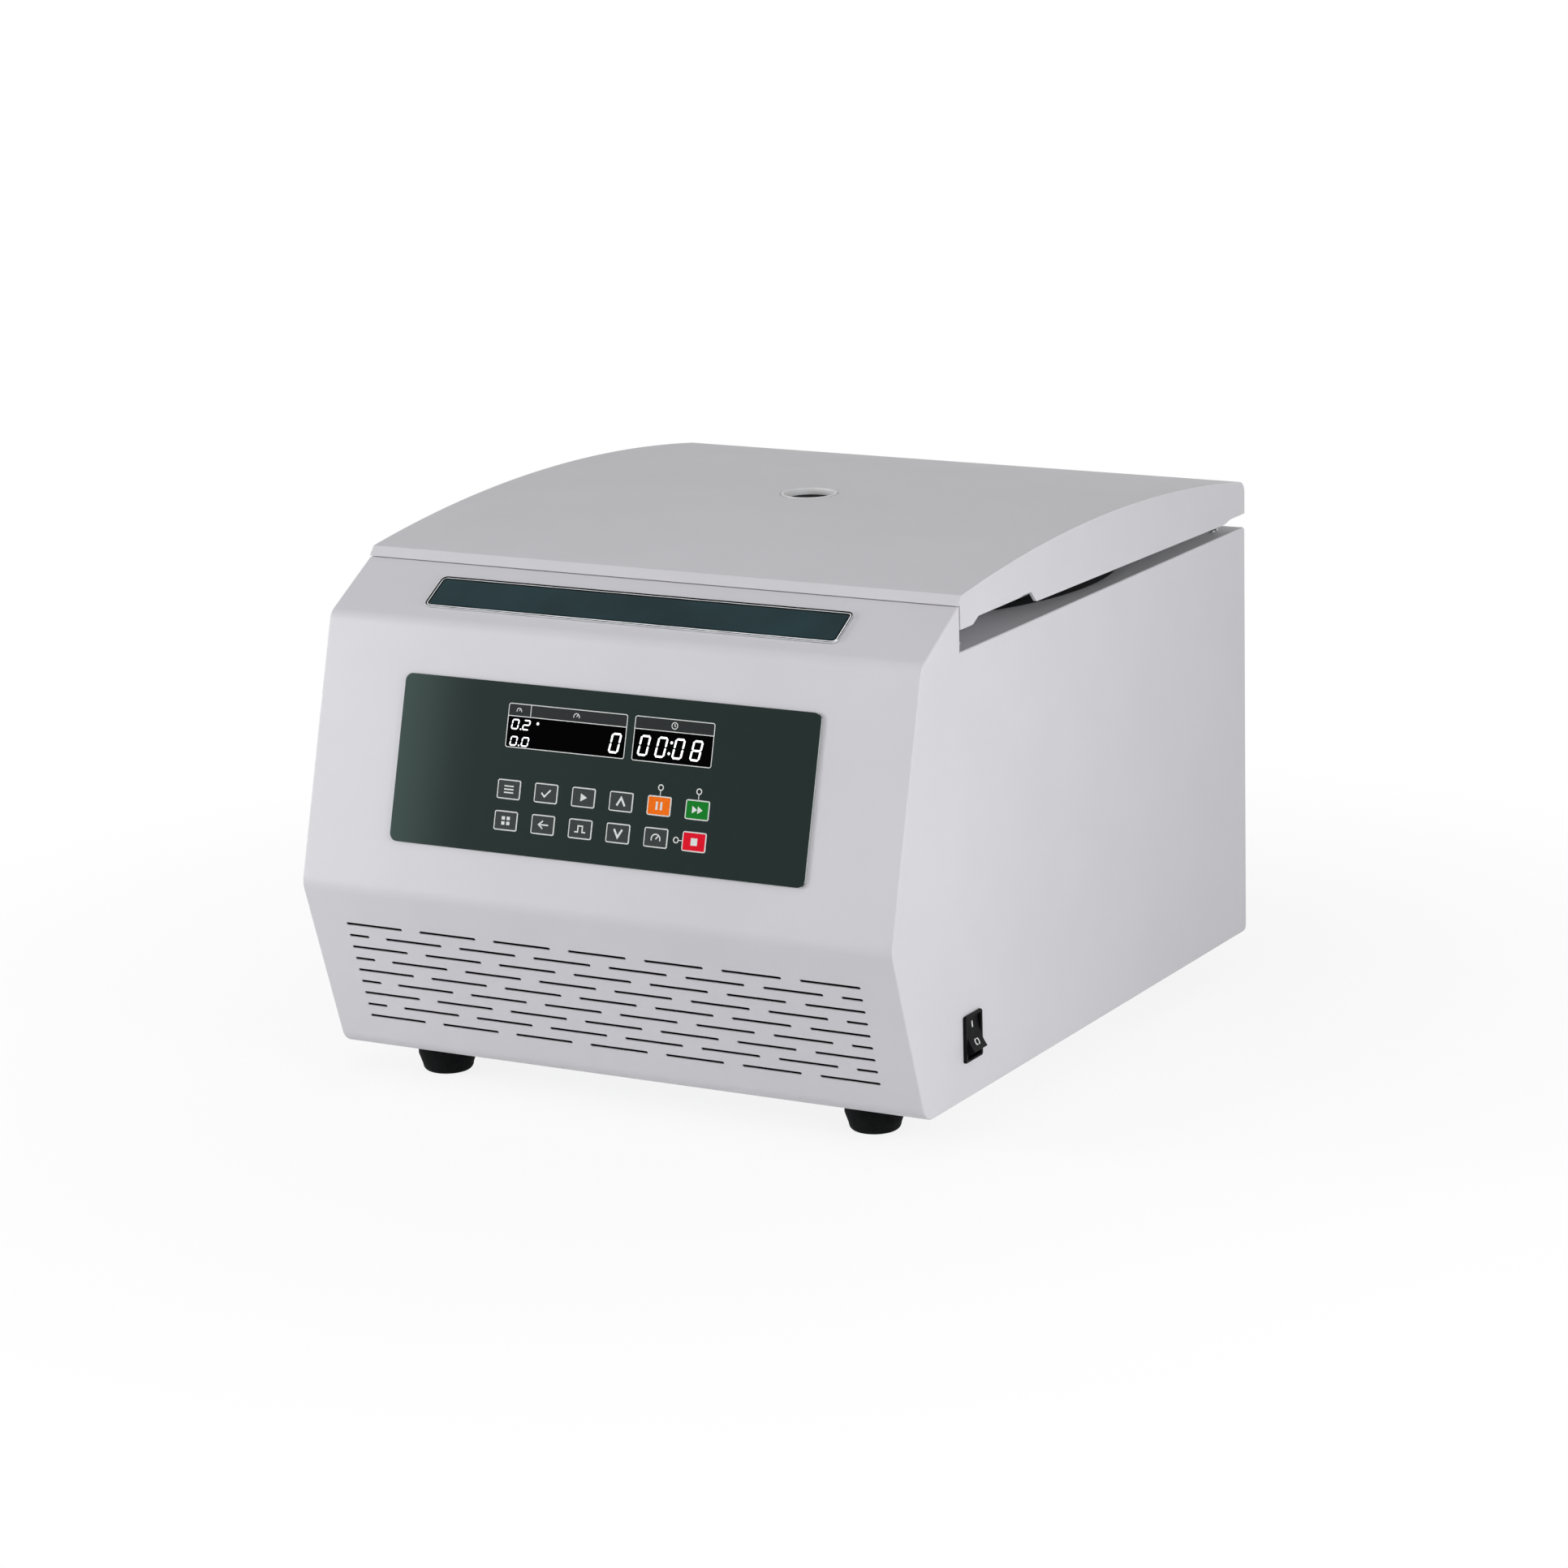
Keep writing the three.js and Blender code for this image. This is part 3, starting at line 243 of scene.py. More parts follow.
def block(name, low, high):
    size = [h - l for l, h in zip(low, high)]
    middle = [(l + h) / 2 for l, h in zip(low, high)]
    bpy.ops.mesh.primitive_cube_add(size=1, location=middle, scale=size)
    bpy.ops.object.transform_apply(location=True, rotation=True, scale=True)
    return made(name)


def rod(name, radius, low, high, x=0, y=0, sides=32):
    bpy.ops.mesh.primitive_cylinder_add(
        vertices=sides, radius=radius, depth=high - low, location=(x, y, (low + high) / 2)
    )
    bpy.ops.object.transform_apply(location=True, rotation=True, scale=True)
    return made(name)


def copied(piece, place):
    only(piece)
    bpy.ops.object.duplicate(linked=False)
    return settle(bpy.context.object, place)


def joined(*pieces):
    """All the pieces in one mesh, which keeps the last one's name."""
    only(*pieces)
    bpy.ops.object.join()
    return pieces[-1]


def modify(piece, kind, **settings):
    only(piece)
    bpy.ops.object.modifier_add(type=kind)
    modifier = piece.modifiers[-1]
    for setting, value in settings.items():
        setattr(modifier, setting, value)
    bpy.ops.object.modifier_apply(modifier=modifier.name)
    return piece


def combine(piece, operation, others):
    for other in others:
        modify(piece, "BOOLEAN", operation=operation, solver="EXACT", object=other)
        bpy.data.objects.remove(other)
    return piece


def carve(piece, *cutters):
    return combine(piece, "DIFFERENCE", cutters)


def weld(piece, *additions):
    return combine(piece, "UNION", additions)


def round_edges(piece, width, segments, test):
    open_mesh(piece, "EDGE")
    if pick(piece, "EDGE", test):
        bpy.ops.mesh.bevel(offset=width, segments=segments, affect="EDGES", clamp_overlap=True)
    close_mesh()
    return piece


def soften(piece, width, segments=2):
    """Rounds every edge that is sharper than 35 degrees."""
    return modify(
        piece, "BEVEL", width=width, segments=segments, limit_method="ANGLE",
        angle_limit=math.radians(35), miter_outer="MITER_ARC",
    )


def above(height):
    """The test for edges that lie wholly above the height."""
    return lambda a, b: min(a.z, b.z) > height


def stepped(piece, height, *stages):
    """Steps the top face at that height in and up by each pair of a stage, in its finish."""
    open_mesh(piece, "FACE")
    pick(piece, "FACE", lambda c, n: abs(c.z - height) < 0.001 and n.z > 0.9)
    for finish, steps in stages:
        piece.active_material_index = finish
        bpy.ops.object.material_slot_assign()
        for thickness, depth in steps:
            bpy.ops.mesh.inset(thickness=thickness, depth=depth)
    close_mesh()


def rounded(corners, steps=8):
    """The outline through the corners (u, v, radius), each rounded in short steps."""
    points = []
    for i, (u, v, radius) in enumerate(corners):
        here = Vector((u, v))
        if not radius:
            points.append(here)
            continue
        back = (Vector(corners[i - 1][:2]) - here).normalized()
        ahead = (Vector(corners[(i + 1) % len(corners)][:2]) - here).normalized()
        half = math.acos(max(-1, min(1, back.dot(ahead)))) / 2
        centre = here + (back + ahead).normalized() * radius / math.sin(half)
        start = here + back * radius / math.tan(half) - centre
        sweep = math.copysign(math.pi - 2 * half, back.cross(ahead))
        for k in range(steps + 1):
            points.append(centre + Matrix.Rotation(-sweep * k / steps, 2) @ start)
    return points


def rectangle(width, height, radius, x=0, y=0, steps=5):
    w, h = width / 2, height / 2
    corners = [(x - w, y - h), (x + w, y - h), (x + w, y + h), (x - w, y + h)]
    return rounded([(u, v, radius) for u, v in corners], steps)


def circle(radius, x=0, y=0, sides=64):
    turns = [2 * math.pi * k / sides for k in range(sides)]
    return [Vector((x + radius * math.cos(t), y + radius * math.sin(t))) for t in turns]


def plate(name, outline, low, high):
    return prism(name, [Vector((u, v, low)) for u, v in outline], (0, 0, high - low))


def across(name, outline, half_width):
    """An outline of depth and height, as wide as twice the half width."""
    return prism(name, [Vector((-half_width, u, v)) for u, v in outline], (2 * half_width, 0, 0))


def face_frame(start, end):
    """The frame of a front face: X to the right, Y up the face, Z out of it."""
    up = Vector((0, end[0] - start[0], end[1] - start[1])).normalized()
    right = Vector((1, 0, 0))
    turned = Matrix((right, up, right.cross(up))).transposed().to_4x4()
    return at(0, *start) @ turned


def inset_meet(before, corner, after, wall):
    """Where the two lines through a corner meet once both have moved inwards by the wall."""
    lines = []
    for a, b in ((before, corner), (corner, after)):
        start, end = Vector(a), Vector(b)
        along = (end - start).normalized()
        shift = Vector((along.y, -along.x)) * wall
        lines += [start + shift, end + shift]
    (a, b, c, d) = lines
    r, s = b - a, d - c
    return a + r * ((c - a).cross(s) / r.cross(s))


DOWNWARDS = about("X", math.pi)
INTO_FRAME = at(0, -DEPTH / 2 * MM, FOOT_HEIGHT * MM) @ Matrix.Scale(MM, 4)
LOW_FACE = face_frame(TOE, LOW_BEND)
MAIN_FACE = face_frame(LOW_BEND, HIGH_BEND)
UPPER_FACE = face_frame(HIGH_BEND, BROW)
PANEL = INTO_FRAME @ MAIN_FACE @ at(0, PANEL_RISE)
STRIP = INTO_FRAME @ UPPER_FACE @ at(0, STRIP_RISE)
ROTOR = INTO_FRAME @ at(0, ROTOR_Y)
SIGHT = INTO_FRAME @ at(0, LID_PEAK)


# Finishes. Colours are as they look on a screen, 0 to 255.


def screen(colour, share=1.0):
    parts = [c / 255 * share for c in colour]
    return [c / 12.92 if c <= 0.04045 else ((c + 0.055) / 1.055) ** 2.4 for c in parts] + [1]


def plain(name, colour, roughness, metallic=0.0, **more):
    material = bpy.data.materials.new(name)
    material.use_nodes = True
    inputs = material.node_tree.nodes["Principled BSDF"].inputs
    inputs["Base Color"].default_value = screen(colour)
    inputs["Roughness"].default_value = roughness
    inputs["Metallic"].default_value = metallic
    for socket, value in more.items():
        inputs[socket.replace("_", " ")].default_value = value
    return material


def add_node(owner, kind, inputs=(), **settings):
    """A shader node whose inputs are values or the outputs of other nodes."""
    tree = owner.node_tree
    new = tree.nodes.new("ShaderNode" + kind)
    for setting, value in settings.items():
        setattr(new, setting, value)
    for socket, value in dict(inputs).items():
        if isinstance(value, bpy.types.NodeSocket):
            tree.links.new(value, new.inputs[socket])
        else:
            new.inputs[socket].default_value = value
    return new


def place_on(material, centre=(0, 0, 0), stretch=(1, 1, 1)):
    """Object coordinates counted from the centre, in metres, then stretched."""
    place = add_node(material, "TexCoord").outputs["Object"]
    shift = [-c * s for c, s in zip(centre, stretch)]
    mapping = {"Vector": place, "Location": shift, "Scale": stretch}
    return add_node(material, "Mapping", mapping).outputs["Vector"]


def cloud(material, size, place=None, detail=2.0):
    """A noise whose blots are about the size in millimetres."""
    inputs = {"Vector": place or place_on(material), "Scale": 1 / (size * MM), "Detail": detail}
    return add_node(material, "TexNoise", inputs).outputs["Fac"]


def rings_round(material, centre, size):
    """A noise of fine rings round an upright axis, as a lathe tool leaves them."""
    place = place_on(material, centre)
    parts = add_node(material, "SeparateXYZ", {"Vector": place}).outputs
    flat = add_node(material, "CombineXYZ", {"X": parts["X"], "Y": parts["Y"]})
    length = add_node(material, "VectorMath", {0: flat.outputs["Vector"]}, operation="LENGTH")
    rings = add_node(material, "CombineXYZ", {"X": length.outputs["Value"], "Z": parts["Z"]})
    return cloud(material, size, rings.outputs["Vector"], 3.0)


def ranged(material, factor, low, high):
    inputs = {"Value": factor, "From Min": 0.3, "From Max": 0.7, "To Min": low, "To Max": high}
    return add_node(material, "MapRange", inputs).outputs["Result"]


def link_shader(material, output, socket):
    shader = material.node_tree.nodes["Principled BSDF"]
    material.node_tree.links.new(output, shader.inputs[socket])


def shine(material, factor, low, high):
    link_shader(material, ranged(material, factor, low, high), "Roughness")


def blend(material, factor, first, second):
    colours = {"Factor": factor, 6: first, 7: second}
    mix = add_node(material, "Mix", colours, data_type="RGBA")
    link_shader(material, mix.outputs[2], "Base Color")


def tint(material, factor, colour, dark, light):
    """Varies the colour between its dark and its light share."""
    shades = screen(colour, dark), screen(colour, light)
    blend(material, ranged(material, factor, 0, 1), *shades)


def relief(material, height, depth):
    """A bump as deep as the depth in millimetres."""
    inputs = {"Height": height, "Distance": depth * MM, "Strength": 1}
    normal = material.node_tree.nodes["Principled BSDF"].inputs["Normal"]
    if normal.is_linked:
        inputs["Normal"] = normal.links[0].from_socket
    link_shader(material, add_node(material, "Bump", inputs).outputs["Normal"], "Normal")


def powder_coat(name, colour, roughness):
    """Baked powder paint: a fine orange peel and hardly any change of tone."""
    material = plain(name, colour, roughness, Coat_Weight=0.08, Coat_Roughness=0.3)
    tint(material, cloud(material, 70), colour, 0.992, 1.006)
    shine(material, cloud(material, 9), roughness - 0.015, roughness + 0.02)
    relief(material, cloud(material, 1.4, detail=1.0), 0.035)
    relief(material, cloud(material, 0.35, detail=1.0), 0.006)
    return material


def moulded(name, colour, roughness, grain=0.5, depth=0.02, mirror=0.25):
    """Moulded plastic or rubber with a fine spark-eroded grain."""
    material = plain(name, colour, roughness, Specular_IOR_Level=mirror)
    tint(material, cloud(material, 12), colour, 0.93, 1.1)
    shine(material, cloud(material, 4), roughness - 0.06, roughness + 0.08)
    relief(material, cloud(material, grain, detail=1.0), depth)
    return material


def brushed(name, colour, roughness, stretch=(0.04, 1, 1)):
    """Metal with fine scratches along the squeezed direction."""
    material = plain(name, colour, roughness, 1.0)
    scratches = cloud(material, 0.35, place_on(material, stretch=stretch), 3.0)
    tint(material, scratches, colour, 0.9, 1.05)
    shine(material, scratches, roughness - 0.08, roughness + 0.1)
    relief(material, scratches, 0.008)
    return material


def lathed(name, colour, roughness, centre, size=0.5):
    material = plain(name, colour, roughness, 1.0)
    rings = rings_round(material, centre, size)
    tint(material, rings, colour, 0.88, 1.06)
    shine(material, rings, roughness - 0.07, roughness + 0.1)
    relief(material, rings, 0.012)
    return material


def printed(name, colour, roughness=0.45):
    """Screen-printed ink with a slightly uneven edge to edge cover."""
    material = plain(name, colour, roughness, Specular_IOR_Level=0.08)
    tint(material, cloud(material, 1.5), colour, 0.96, 1.02)
    relief(material, cloud(material, 0.25), 0.004)
    return material


def film(name, left, right):
    """Hard-coated film, made lighter towards its left end by a painted reflection."""
    material = plain(name, right, 0.4, Specular_IOR_Level=0.08)
    side = add_node(material, "SeparateXYZ", {"Vector": place_on(material)}).outputs["X"]
    run = {"Value": side, "From Min": -0.15, "From Max": -0.085}
    share = add_node(material, "MapRange", run, interpolation_type="SMOOTHSTEP")
    # Painted reflection: the colour blends to the lighter one towards the left end.
    blend(material, share.outputs["Result"], screen(left), screen(right))
    shine(material, cloud(material, 6), 0.39, 0.42)
    relief(material, cloud(material, 0.3, detail=1.0), 0.004)
    return material


def glassy(name, colour, roughness, mirror=0.12):
    material = plain(name, colour, roughness, Specular_IOR_Level=mirror)
    tint(material, cloud(material, 40), colour, 0.9, 1.12)
    shine(material, cloud(material, 15), roughness - 0.02, roughness + 0.05)
    return material


PAINT = powder_coat("pale powder coat", (206, 205, 210), 0.5)
DECK_PAINT = powder_coat("inner powder coat", (222, 222, 226), 0.5)
STEEL = brushed("brushed steel", (188, 190, 194), 0.34)
ZINC = brushed("zinc plate", (176, 179, 182), 0.38, (1, 0.1, 1))
ALUMINIUM = brushed("satin aluminium", (196, 198, 201), 0.36)
BOWL_STEEL = lathed("spun stainless steel", (200, 201, 204), 0.26, (0, 0.0455, 0), 0.6)
ROTOR_METAL = lathed("turned aluminium", (190, 193, 197), 0.3, (0, 0.0455, 0), 0.5)
RIM_PAINT = powder_coat("pale rim", (214, 214, 217), 0.4)
# A lighter copy of the rim paint: painted light on the far wall of the sight recess.
BORE_PAINTED_LIGHT = powder_coat("rim bore with painted light", (250, 250, 251), 0.3)
DARK_METAL = moulded("dark painted metal", (58, 60, 63), 0.42, 0.8, 0.03)
RUBBER = moulded("black rubber", (19, 20, 21), 0.8, 0.9, 0.04, 0.08)
PLASTIC = moulded("black plastic", (34, 35, 38), 0.4, 0.35, 0.012)
SWITCH_BLACK = moulded("satin black switch", (17, 17, 19), 0.42, 0.3, 0.01, 0.04)
# Near black: a dust screen that also stands for the shade inside the case, painted shade.
DUST_AND_SHADE_SCREEN = moulded("black dust and shade screen", (3, 3, 4), 0.9, 0.6, 0.1, 0.02)
# Dark green film; its lighter left end is a painted reflection of a lamp at the left.
FILM = film("dark green film", (60, 76, 73), (30, 43, 41))
FILM_EDGE = printed("cut edge of the film", (176, 180, 178), 0.35)
WINDOW = glassy("black window", (2, 2, 3), 0.1, 0.01)
HEADER = printed("grey header band", (42, 45, 46), 0.4)
INK = printed("white ink", (222, 226, 224))
KEY_GREY = printed("grey key film", (58, 63, 63))
KEY_ORANGE = printed("orange key film", (242, 112, 16))
KEY_GREEN = printed("green key film", (12, 122, 36))
KEY_RED = printed("red key film", (224, 12, 40))
SEGMENT = plain("lit segment", (235, 238, 240), 0.4, Emission_Color=(1, 1, 1, 1))
SEGMENT.node_tree.nodes["Principled BSDF"].inputs["Emission Strength"].default_value = 0.85
tones = ranged(SEGMENT, cloud(SEGMENT, 3), 0, 1)
blend(SEGMENT, tones, screen((228, 232, 236)), screen((245, 247, 248)))
LENS = glassy("dark lamp lens", (26, 34, 32), 0.15)
BEZEL = glassy("gloss black bezel", (7, 10, 11), 0.16, 0.08)
# A bright trim bead that is also painted highlight, standing for the lit lip of a recess.
BEAD_AND_HIGHLIGHT = brushed("bright bead and painted highlight", (236, 238, 240), 0.3)
TEAL = glassy("gloss teal strip", (27, 51, 56), 0.2, 0.08)
CIRCUIT = moulded("green circuit board", (30, 92, 54), 0.45, 2.5, 0.05)
COPPER = brushed("lacquered copper", (170, 98, 60), 0.35)
GLASS = plain("smoked sight glass", (66, 71, 71), 0.03, Transmission_Weight=1.0, IOR=1.02)
shine(GLASS, cloud(GLASS, 5), 0.02, 0.06)


def wear(piece, *materials):
    piece.data.materials.clear()
    for material in materials:
        piece.data.materials.append(material)


def paint_faces(piece, index, test):
    for face in piece.data.polygons:
        if test(face.center, face.normal):
            face.material_index = index


def finished(piece, place, body, slot, node, *materials, angle=40):
    """Places a piece in the frame, shades it, hangs it on its body and hides the CAD part it stands
    for.
    """
    if materials:
        wear(piece, *materials)
    settle(piece, place)
    bpy.ops.object.shade_smooth_by_angle(angle=math.radians(angle))
    modify(piece, "WEIGHTED_NORMAL", keep_sharp=True)
    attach(piece, body)
    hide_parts(node)


def repeated(first, rows, place_frame, slot):
    """A finished copy of the piece for every name, place, body and node."""
    for name, place, body, node in rows:
        finished(named(copied(first, place), name), place_frame, body, slot, node)
    bpy.data.objects.remove(first)


# Camera, light and floor

# As fitted to the photograph: lens in millimetres, angles in degrees, place in metres
CAMERA_LENS = 119.03
CAMERA_ANGLES = (29.1006, 13.8324, -1.4922)
CAMERA_PLACE = (1.519454, -2.736995, 0.925104)

# Name, place, aim, size and power
STUDIO_LAMPS = (
    ("left lamp", (-1.3, -0.9, 0.45), (0, 0, 0.15), 0.6, 13.6),
    ("right lamp", (1.16, -0.56, 0.45), (0, 0, 0.15), 0.5, 7),
    ("lid lamp", (0, -0.35, 1.1), (0, -0.1, 0.3), 0.5, 1.4),
    ("rear lamp", (0.6, 1.9, 0.7), (0, 0, 0.15), 0.8, 4),
)

AMBIENT_LIGHT = 0.3

# How white the floor's shadow is, and from where to where it fades, in metres
SHADOW_WHITE = 0.85
SHADOW_FADE = (0.3, 0.75)


def make_camera():
    data = bpy.data.cameras.new("camera")
    camera = linked("camera", data)
    data.sensor_width = 36
    data.lens = CAMERA_LENS
    data.clip_start = 0.05
    yaw, pitch, roll = (math.radians(angle) for angle in CAMERA_ANGLES)
    turned = about("Z", yaw) @ about("X", math.pi / 2 - pitch)
    place = at(*CAMERA_PLACE)
    camera.matrix_world = place @ turned @ about("Z", roll)
    bpy.context.scene.camera = camera


def make_lamp(name, place, target, size, power):
    data = bpy.data.lights.new(name, "AREA")
    data.shape = "DISK"
    data.size = size
    data.energy = power
    lamp = linked(name, data)
    lamp.location = place
    lamp.rotation_euler = (Vector(target) - Vector(place)).to_track_quat("-Z", "Y").to_euler()


def seen_directly(owner):
    """Is 1 where the ray comes from the camera, a mirror or a glass."""
    rays = add_node(owner, "LightPath").outputs
    total = rays["Is Camera Ray"]
    for kind in ("Is Glossy Ray", "Is Transmission Ray"):
        either = {0: total, 1: rays[kind]}
        total = add_node(owner, "Math", either, operation="MAXIMUM").outputs[0]
    return total


def make_world(ambient):
    """White where it is seen, and weaker as a light."""
    world = bpy.data.worlds.new("studio")
    bpy.context.scene.world = world
    world.use_nodes = True
    strength = {"Value": seen_directly(world), "To Min": ambient, "To Max": 1}
    result = add_node(world, "MapRange", strength).outputs["Result"]
    background = world.node_tree.nodes["Background"].inputs
    background["Color"].default_value = (1, 1, 1, 1)
    world.node_tree.links.new(result, background["Strength"])


def make_floor(near_share, near, far):
    """White where it is seen, but for a faint shadow near the object."""
    bpy.ops.mesh.primitive_plane_add(size=40)
    floor = made("floor")
    material = plain("white floor", (244, 244, 244), 0.9)
    nodes = material.node_tree.nodes
    distance = add_node(material, "VectorMath", {0: place_on(material)}, operation="LENGTH")
    fade = {
        "Value": distance.outputs["Value"], "From Min": near, "From Max": far, "To Min": near_share,
    }
    share = add_node(material, "MapRange", fade).outputs["Result"]
    factors = {0: seen_directly(material), 1: share}
    factor = add_node(material, "Math", factors, operation="MULTIPLY").outputs[0]
    glow = add_node(material, "Emission").outputs[0]
    layers = {"Fac": factor, 1: nodes["Principled BSDF"].outputs[0], 2: glow}
    surface = add_node(material, "MixShader", layers).outputs[0]
    material.node_tree.links.new(surface, nodes["Material Output"].inputs["Surface"])
    wear(floor, material)


bpy.context.scene.view_settings.view_transform = "Standard"
make_camera()
make_world(AMBIENT_LIGHT)
make_floor(SHADOW_WHITE, *SHADOW_FADE)
for studio_lamp in STUDIO_LAMPS:
    make_lamp(*studio_lamp)


# Hardware and marks that several pieces share


def along_y(name, outline, half_width):
    """An outline of width and height, as deep as twice the half width."""
    return prism(name, [Vector((u, -half_width, v)) for u, v in outline], (0, 2 * half_width, 0))


def cad_copy(name, node):
    """The CAD node's mesh as a new piece in the case's millimetres, its flat faces whole."""
    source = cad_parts[node]
    piece = named(linked(name, source.data.copy()), name)
    piece.data.materials.clear()
    settle(piece, INTO_FRAME.inverted() @ source.matrix_world)
    open_mesh(piece)
    bpy.ops.mesh.remove_doubles(threshold=0.005)
    bpy.ops.mesh.dissolve_limited(angle_limit=math.radians(1))
    bpy.ops.mesh.normals_make_consistent(inside=False)
    close_mesh()
    return piece


def pan_head(radius, height):
    """A pan-head screw seen from above, with a cross recess."""
    head = turn("screw", [
        (0, -0.2), (radius, -0.2), (radius, height * 0.45), (radius * 0.88, height * 0.8),
        (radius * 0.6, height * 0.97), (0, height),
    ], 24)
    arm, thin = radius * 0.62, radius * 0.13
    cross = block("cross", (-arm, -thin, height * 0.4), (arm, thin, height + 1))
    other = block("cross", (-thin, -arm, height * 0.4), (thin, arm, height + 1))
    carve(head, cross, other)
    wear(head, ZINC)
    return head


def screws(radius, height, places):
    """Copies of one pan-head screw at the matrices."""
    first = pan_head(radius, height)
    heads = [copied(first, place) for place in places]
    bpy.data.objects.remove(first)
    return heads


def stroke(points, width):
    """The outline of a line of that width through the points, with mitred corners."""
    path = [Vector(p) for p in points]
    sides = ([], [])
    for i, here in enumerate(path):
        back = (here - path[max(i - 1, 0)]).normalized()
        ahead = (path[min(i + 1, len(path) - 1)] - here).normalized()
        along = (back + ahead).normalized()
        cosine = along.dot(ahead if ahead.length else back)
        across_line = Vector((-along.y, along.x)) * width / 2 / cosine
        sides[0].append(here + across_line)
        sides[1].append(here - across_line)
    return sides[0] + sides[1][::-1]


def bar(x, y, width, height):
    return rectangle(width, height, 0, x, y)


def arc(radius, start, end, x=0, y=0, steps=16):
    turns = [math.radians(start + (end - start) * k / steps) for k in range(steps + 1)]
    return [(x + radius * math.cos(t), y + radius * math.sin(t)) for t in turns]


def clock_face(x, y, radius, width):
    ring = [stroke(arc(radius, 0, 180, x, y), width), stroke(arc(radius, 180, 360, x, y), width)]
    hands = [(x, y + radius * 0.6), (x, y), (x + radius * 0.45, y - radius * 0.3)]
    return [*ring, stroke(hands, width)]


def gauge_face(x, y, radius, width):
    scale = stroke(arc(radius, -20, 200, x, y - radius * 0.3), width)
    needle = stroke([(x, y - radius * 0.3), (x + radius * 0.5, y + radius * 0.35)], width)
    return [scale, needle]


ICONS = {
    "menu": [bar(0, y, 6.4, 0.8) for y in (-1.9, 0, 1.9)],
    "confirm": [stroke([(-3, 0.1), (-0.9, -2), (3.1, 2.2)], 0.95)],
    "start": [[(-1.8, -2.4), (2.5, 0), (-1.8, 2.4)]],
    "up": [stroke([(-2.7, -2.4), (0, 2.3), (2.7, -2.4)], 1.25)],
    "pause": [bar(x, 0, 1.35, 4.8) for x in (-1.5, 1.5)],
    "run": [[(x - 1.5, -2.2), (x + 1.9, 0), (x - 1.5, 2.2)] for x in (-1.9, 1.7)],
    "program": [bar(x, y, 2.2, 2.0) for x in (-1.7, 1.7) for y in (-1.5, 1.5)],
    "back": [stroke([(0, 2.3), (-2.8, 0), (0, -2.3)], 0.85), bar(0.9, 0, 5.6, 0.85)],
    "pulse": [stroke([
        (-3.7, -1.8), (-1.5, -1.8), (-1.5, 1.8), (1.5, 1.8), (1.5, -1.8), (3.7, -1.8),
    ], 0.8)],
    "down": [stroke([(-2.7, 2.4), (0, -2.3), (2.7, 2.4)], 1.25)],
    "speed": gauge_face(0, 0, 2.9, 0.75),
    "stop": [bar(0, 0, 4.3, 4.3)],
}


def marks(outlines, low, material, place=Matrix.Identity(4), height=PRINT_HEIGHT):
    """Thin printed shapes that stand on the height low."""
    prints = []
    for outline in outlines:
        mark = plate("mark", outline, low, low + height)
        wear(mark, material)
        prints.append(settle(mark, place))
    return prints


LIT = {"0": "abcdef", "2": "abged", "8": "abcdefg"}


def digit(figure, x, y, height, width, slant, thick):
    """The lit segments of a seven-segment figure, with cut ends, leaning to the right."""
    w, h, t = width / 2, height / 2, thick / 2
    ends = {
        "a": ((-w, h), (w, h)), "b": ((w, h), (w, 0)), "c": ((w, 0), (w, -h)),
        "d": ((-w, -h), (w, -h)), "e": ((-w, 0), (-w, -h)), "f": ((-w, h), (-w, 0)),
        "g": ((-w, 0), (w, 0)),
    }
    outlines = []
    for segment in LIT[figure]:
        start, end = (Vector(p) for p in ends[segment])
        along = (end - start).normalized()
        side = Vector((-along.y, along.x)) * t
        start, end = start + along * 0.12 * thick, end - along * 0.12 * thick
        shape = [
            start, start + along * t + side, end - along * t + side,
            end, end - along * t - side, start + along * t - side,
        ]
        outlines.append([(x + p.x + p.y * slant, y + p.y) for p in shape])
    return outlines


# Case


def slot_cutter(name, length):
    return plate(name, rectangle(length, SLOT_HEIGHT, SLOT_HEIGHT / 2 - 0.001, steps=4), -5, 3)


def slot_cutters():
    """Rows take turns: whole slots, then slots moved half a pitch with a short one at each end."""
    whole = slot_cutter("whole_slot", SLOT_LENGTH)
    short = slot_cutter("short_slot", SLOT_END_LENGTH)
    row_end = ((SLOTS_IN_ROW - 1) * SLOT_PITCH + SLOT_LENGTH) / 2
    cutters = []
    for row in range(SLOT_ROWS):
        rise = SLOT_FIRST_ROW + row * SLOT_ROW_PITCH
        count = SLOTS_IN_ROW - row % 2
        places = [(whole, (k - (count - 1) / 2) * SLOT_PITCH) for k in range(count)]
        if row % 2:
            end = row_end - SLOT_END_LENGTH / 2
            places += [(short, -end), (short, end)]
        for cutter, x in places:
            cutters.append(copied(cutter, LOW_FACE @ at(x, rise)))
    bpy.data.objects.remove(whole)
    bpy.data.objects.remove(short)
    return joined(*cutters)


def display_cutter(x, width):
    cutter = plate("window_cutter", rectangle(width + 0.6, DISPLAY_HEIGHT + 0.6, 1), -6, 3)
    return settle(cutter, MAIN_FACE @ at(x, PANEL_RISE + DISPLAY_RISE))


def side_edge(a, b):
    """Whether an edge runs along the rim of a side wall."""
    return abs(abs(a.x) - HALF_WIDTH) < 0.01 and abs(a.x - b.x) < 0.01


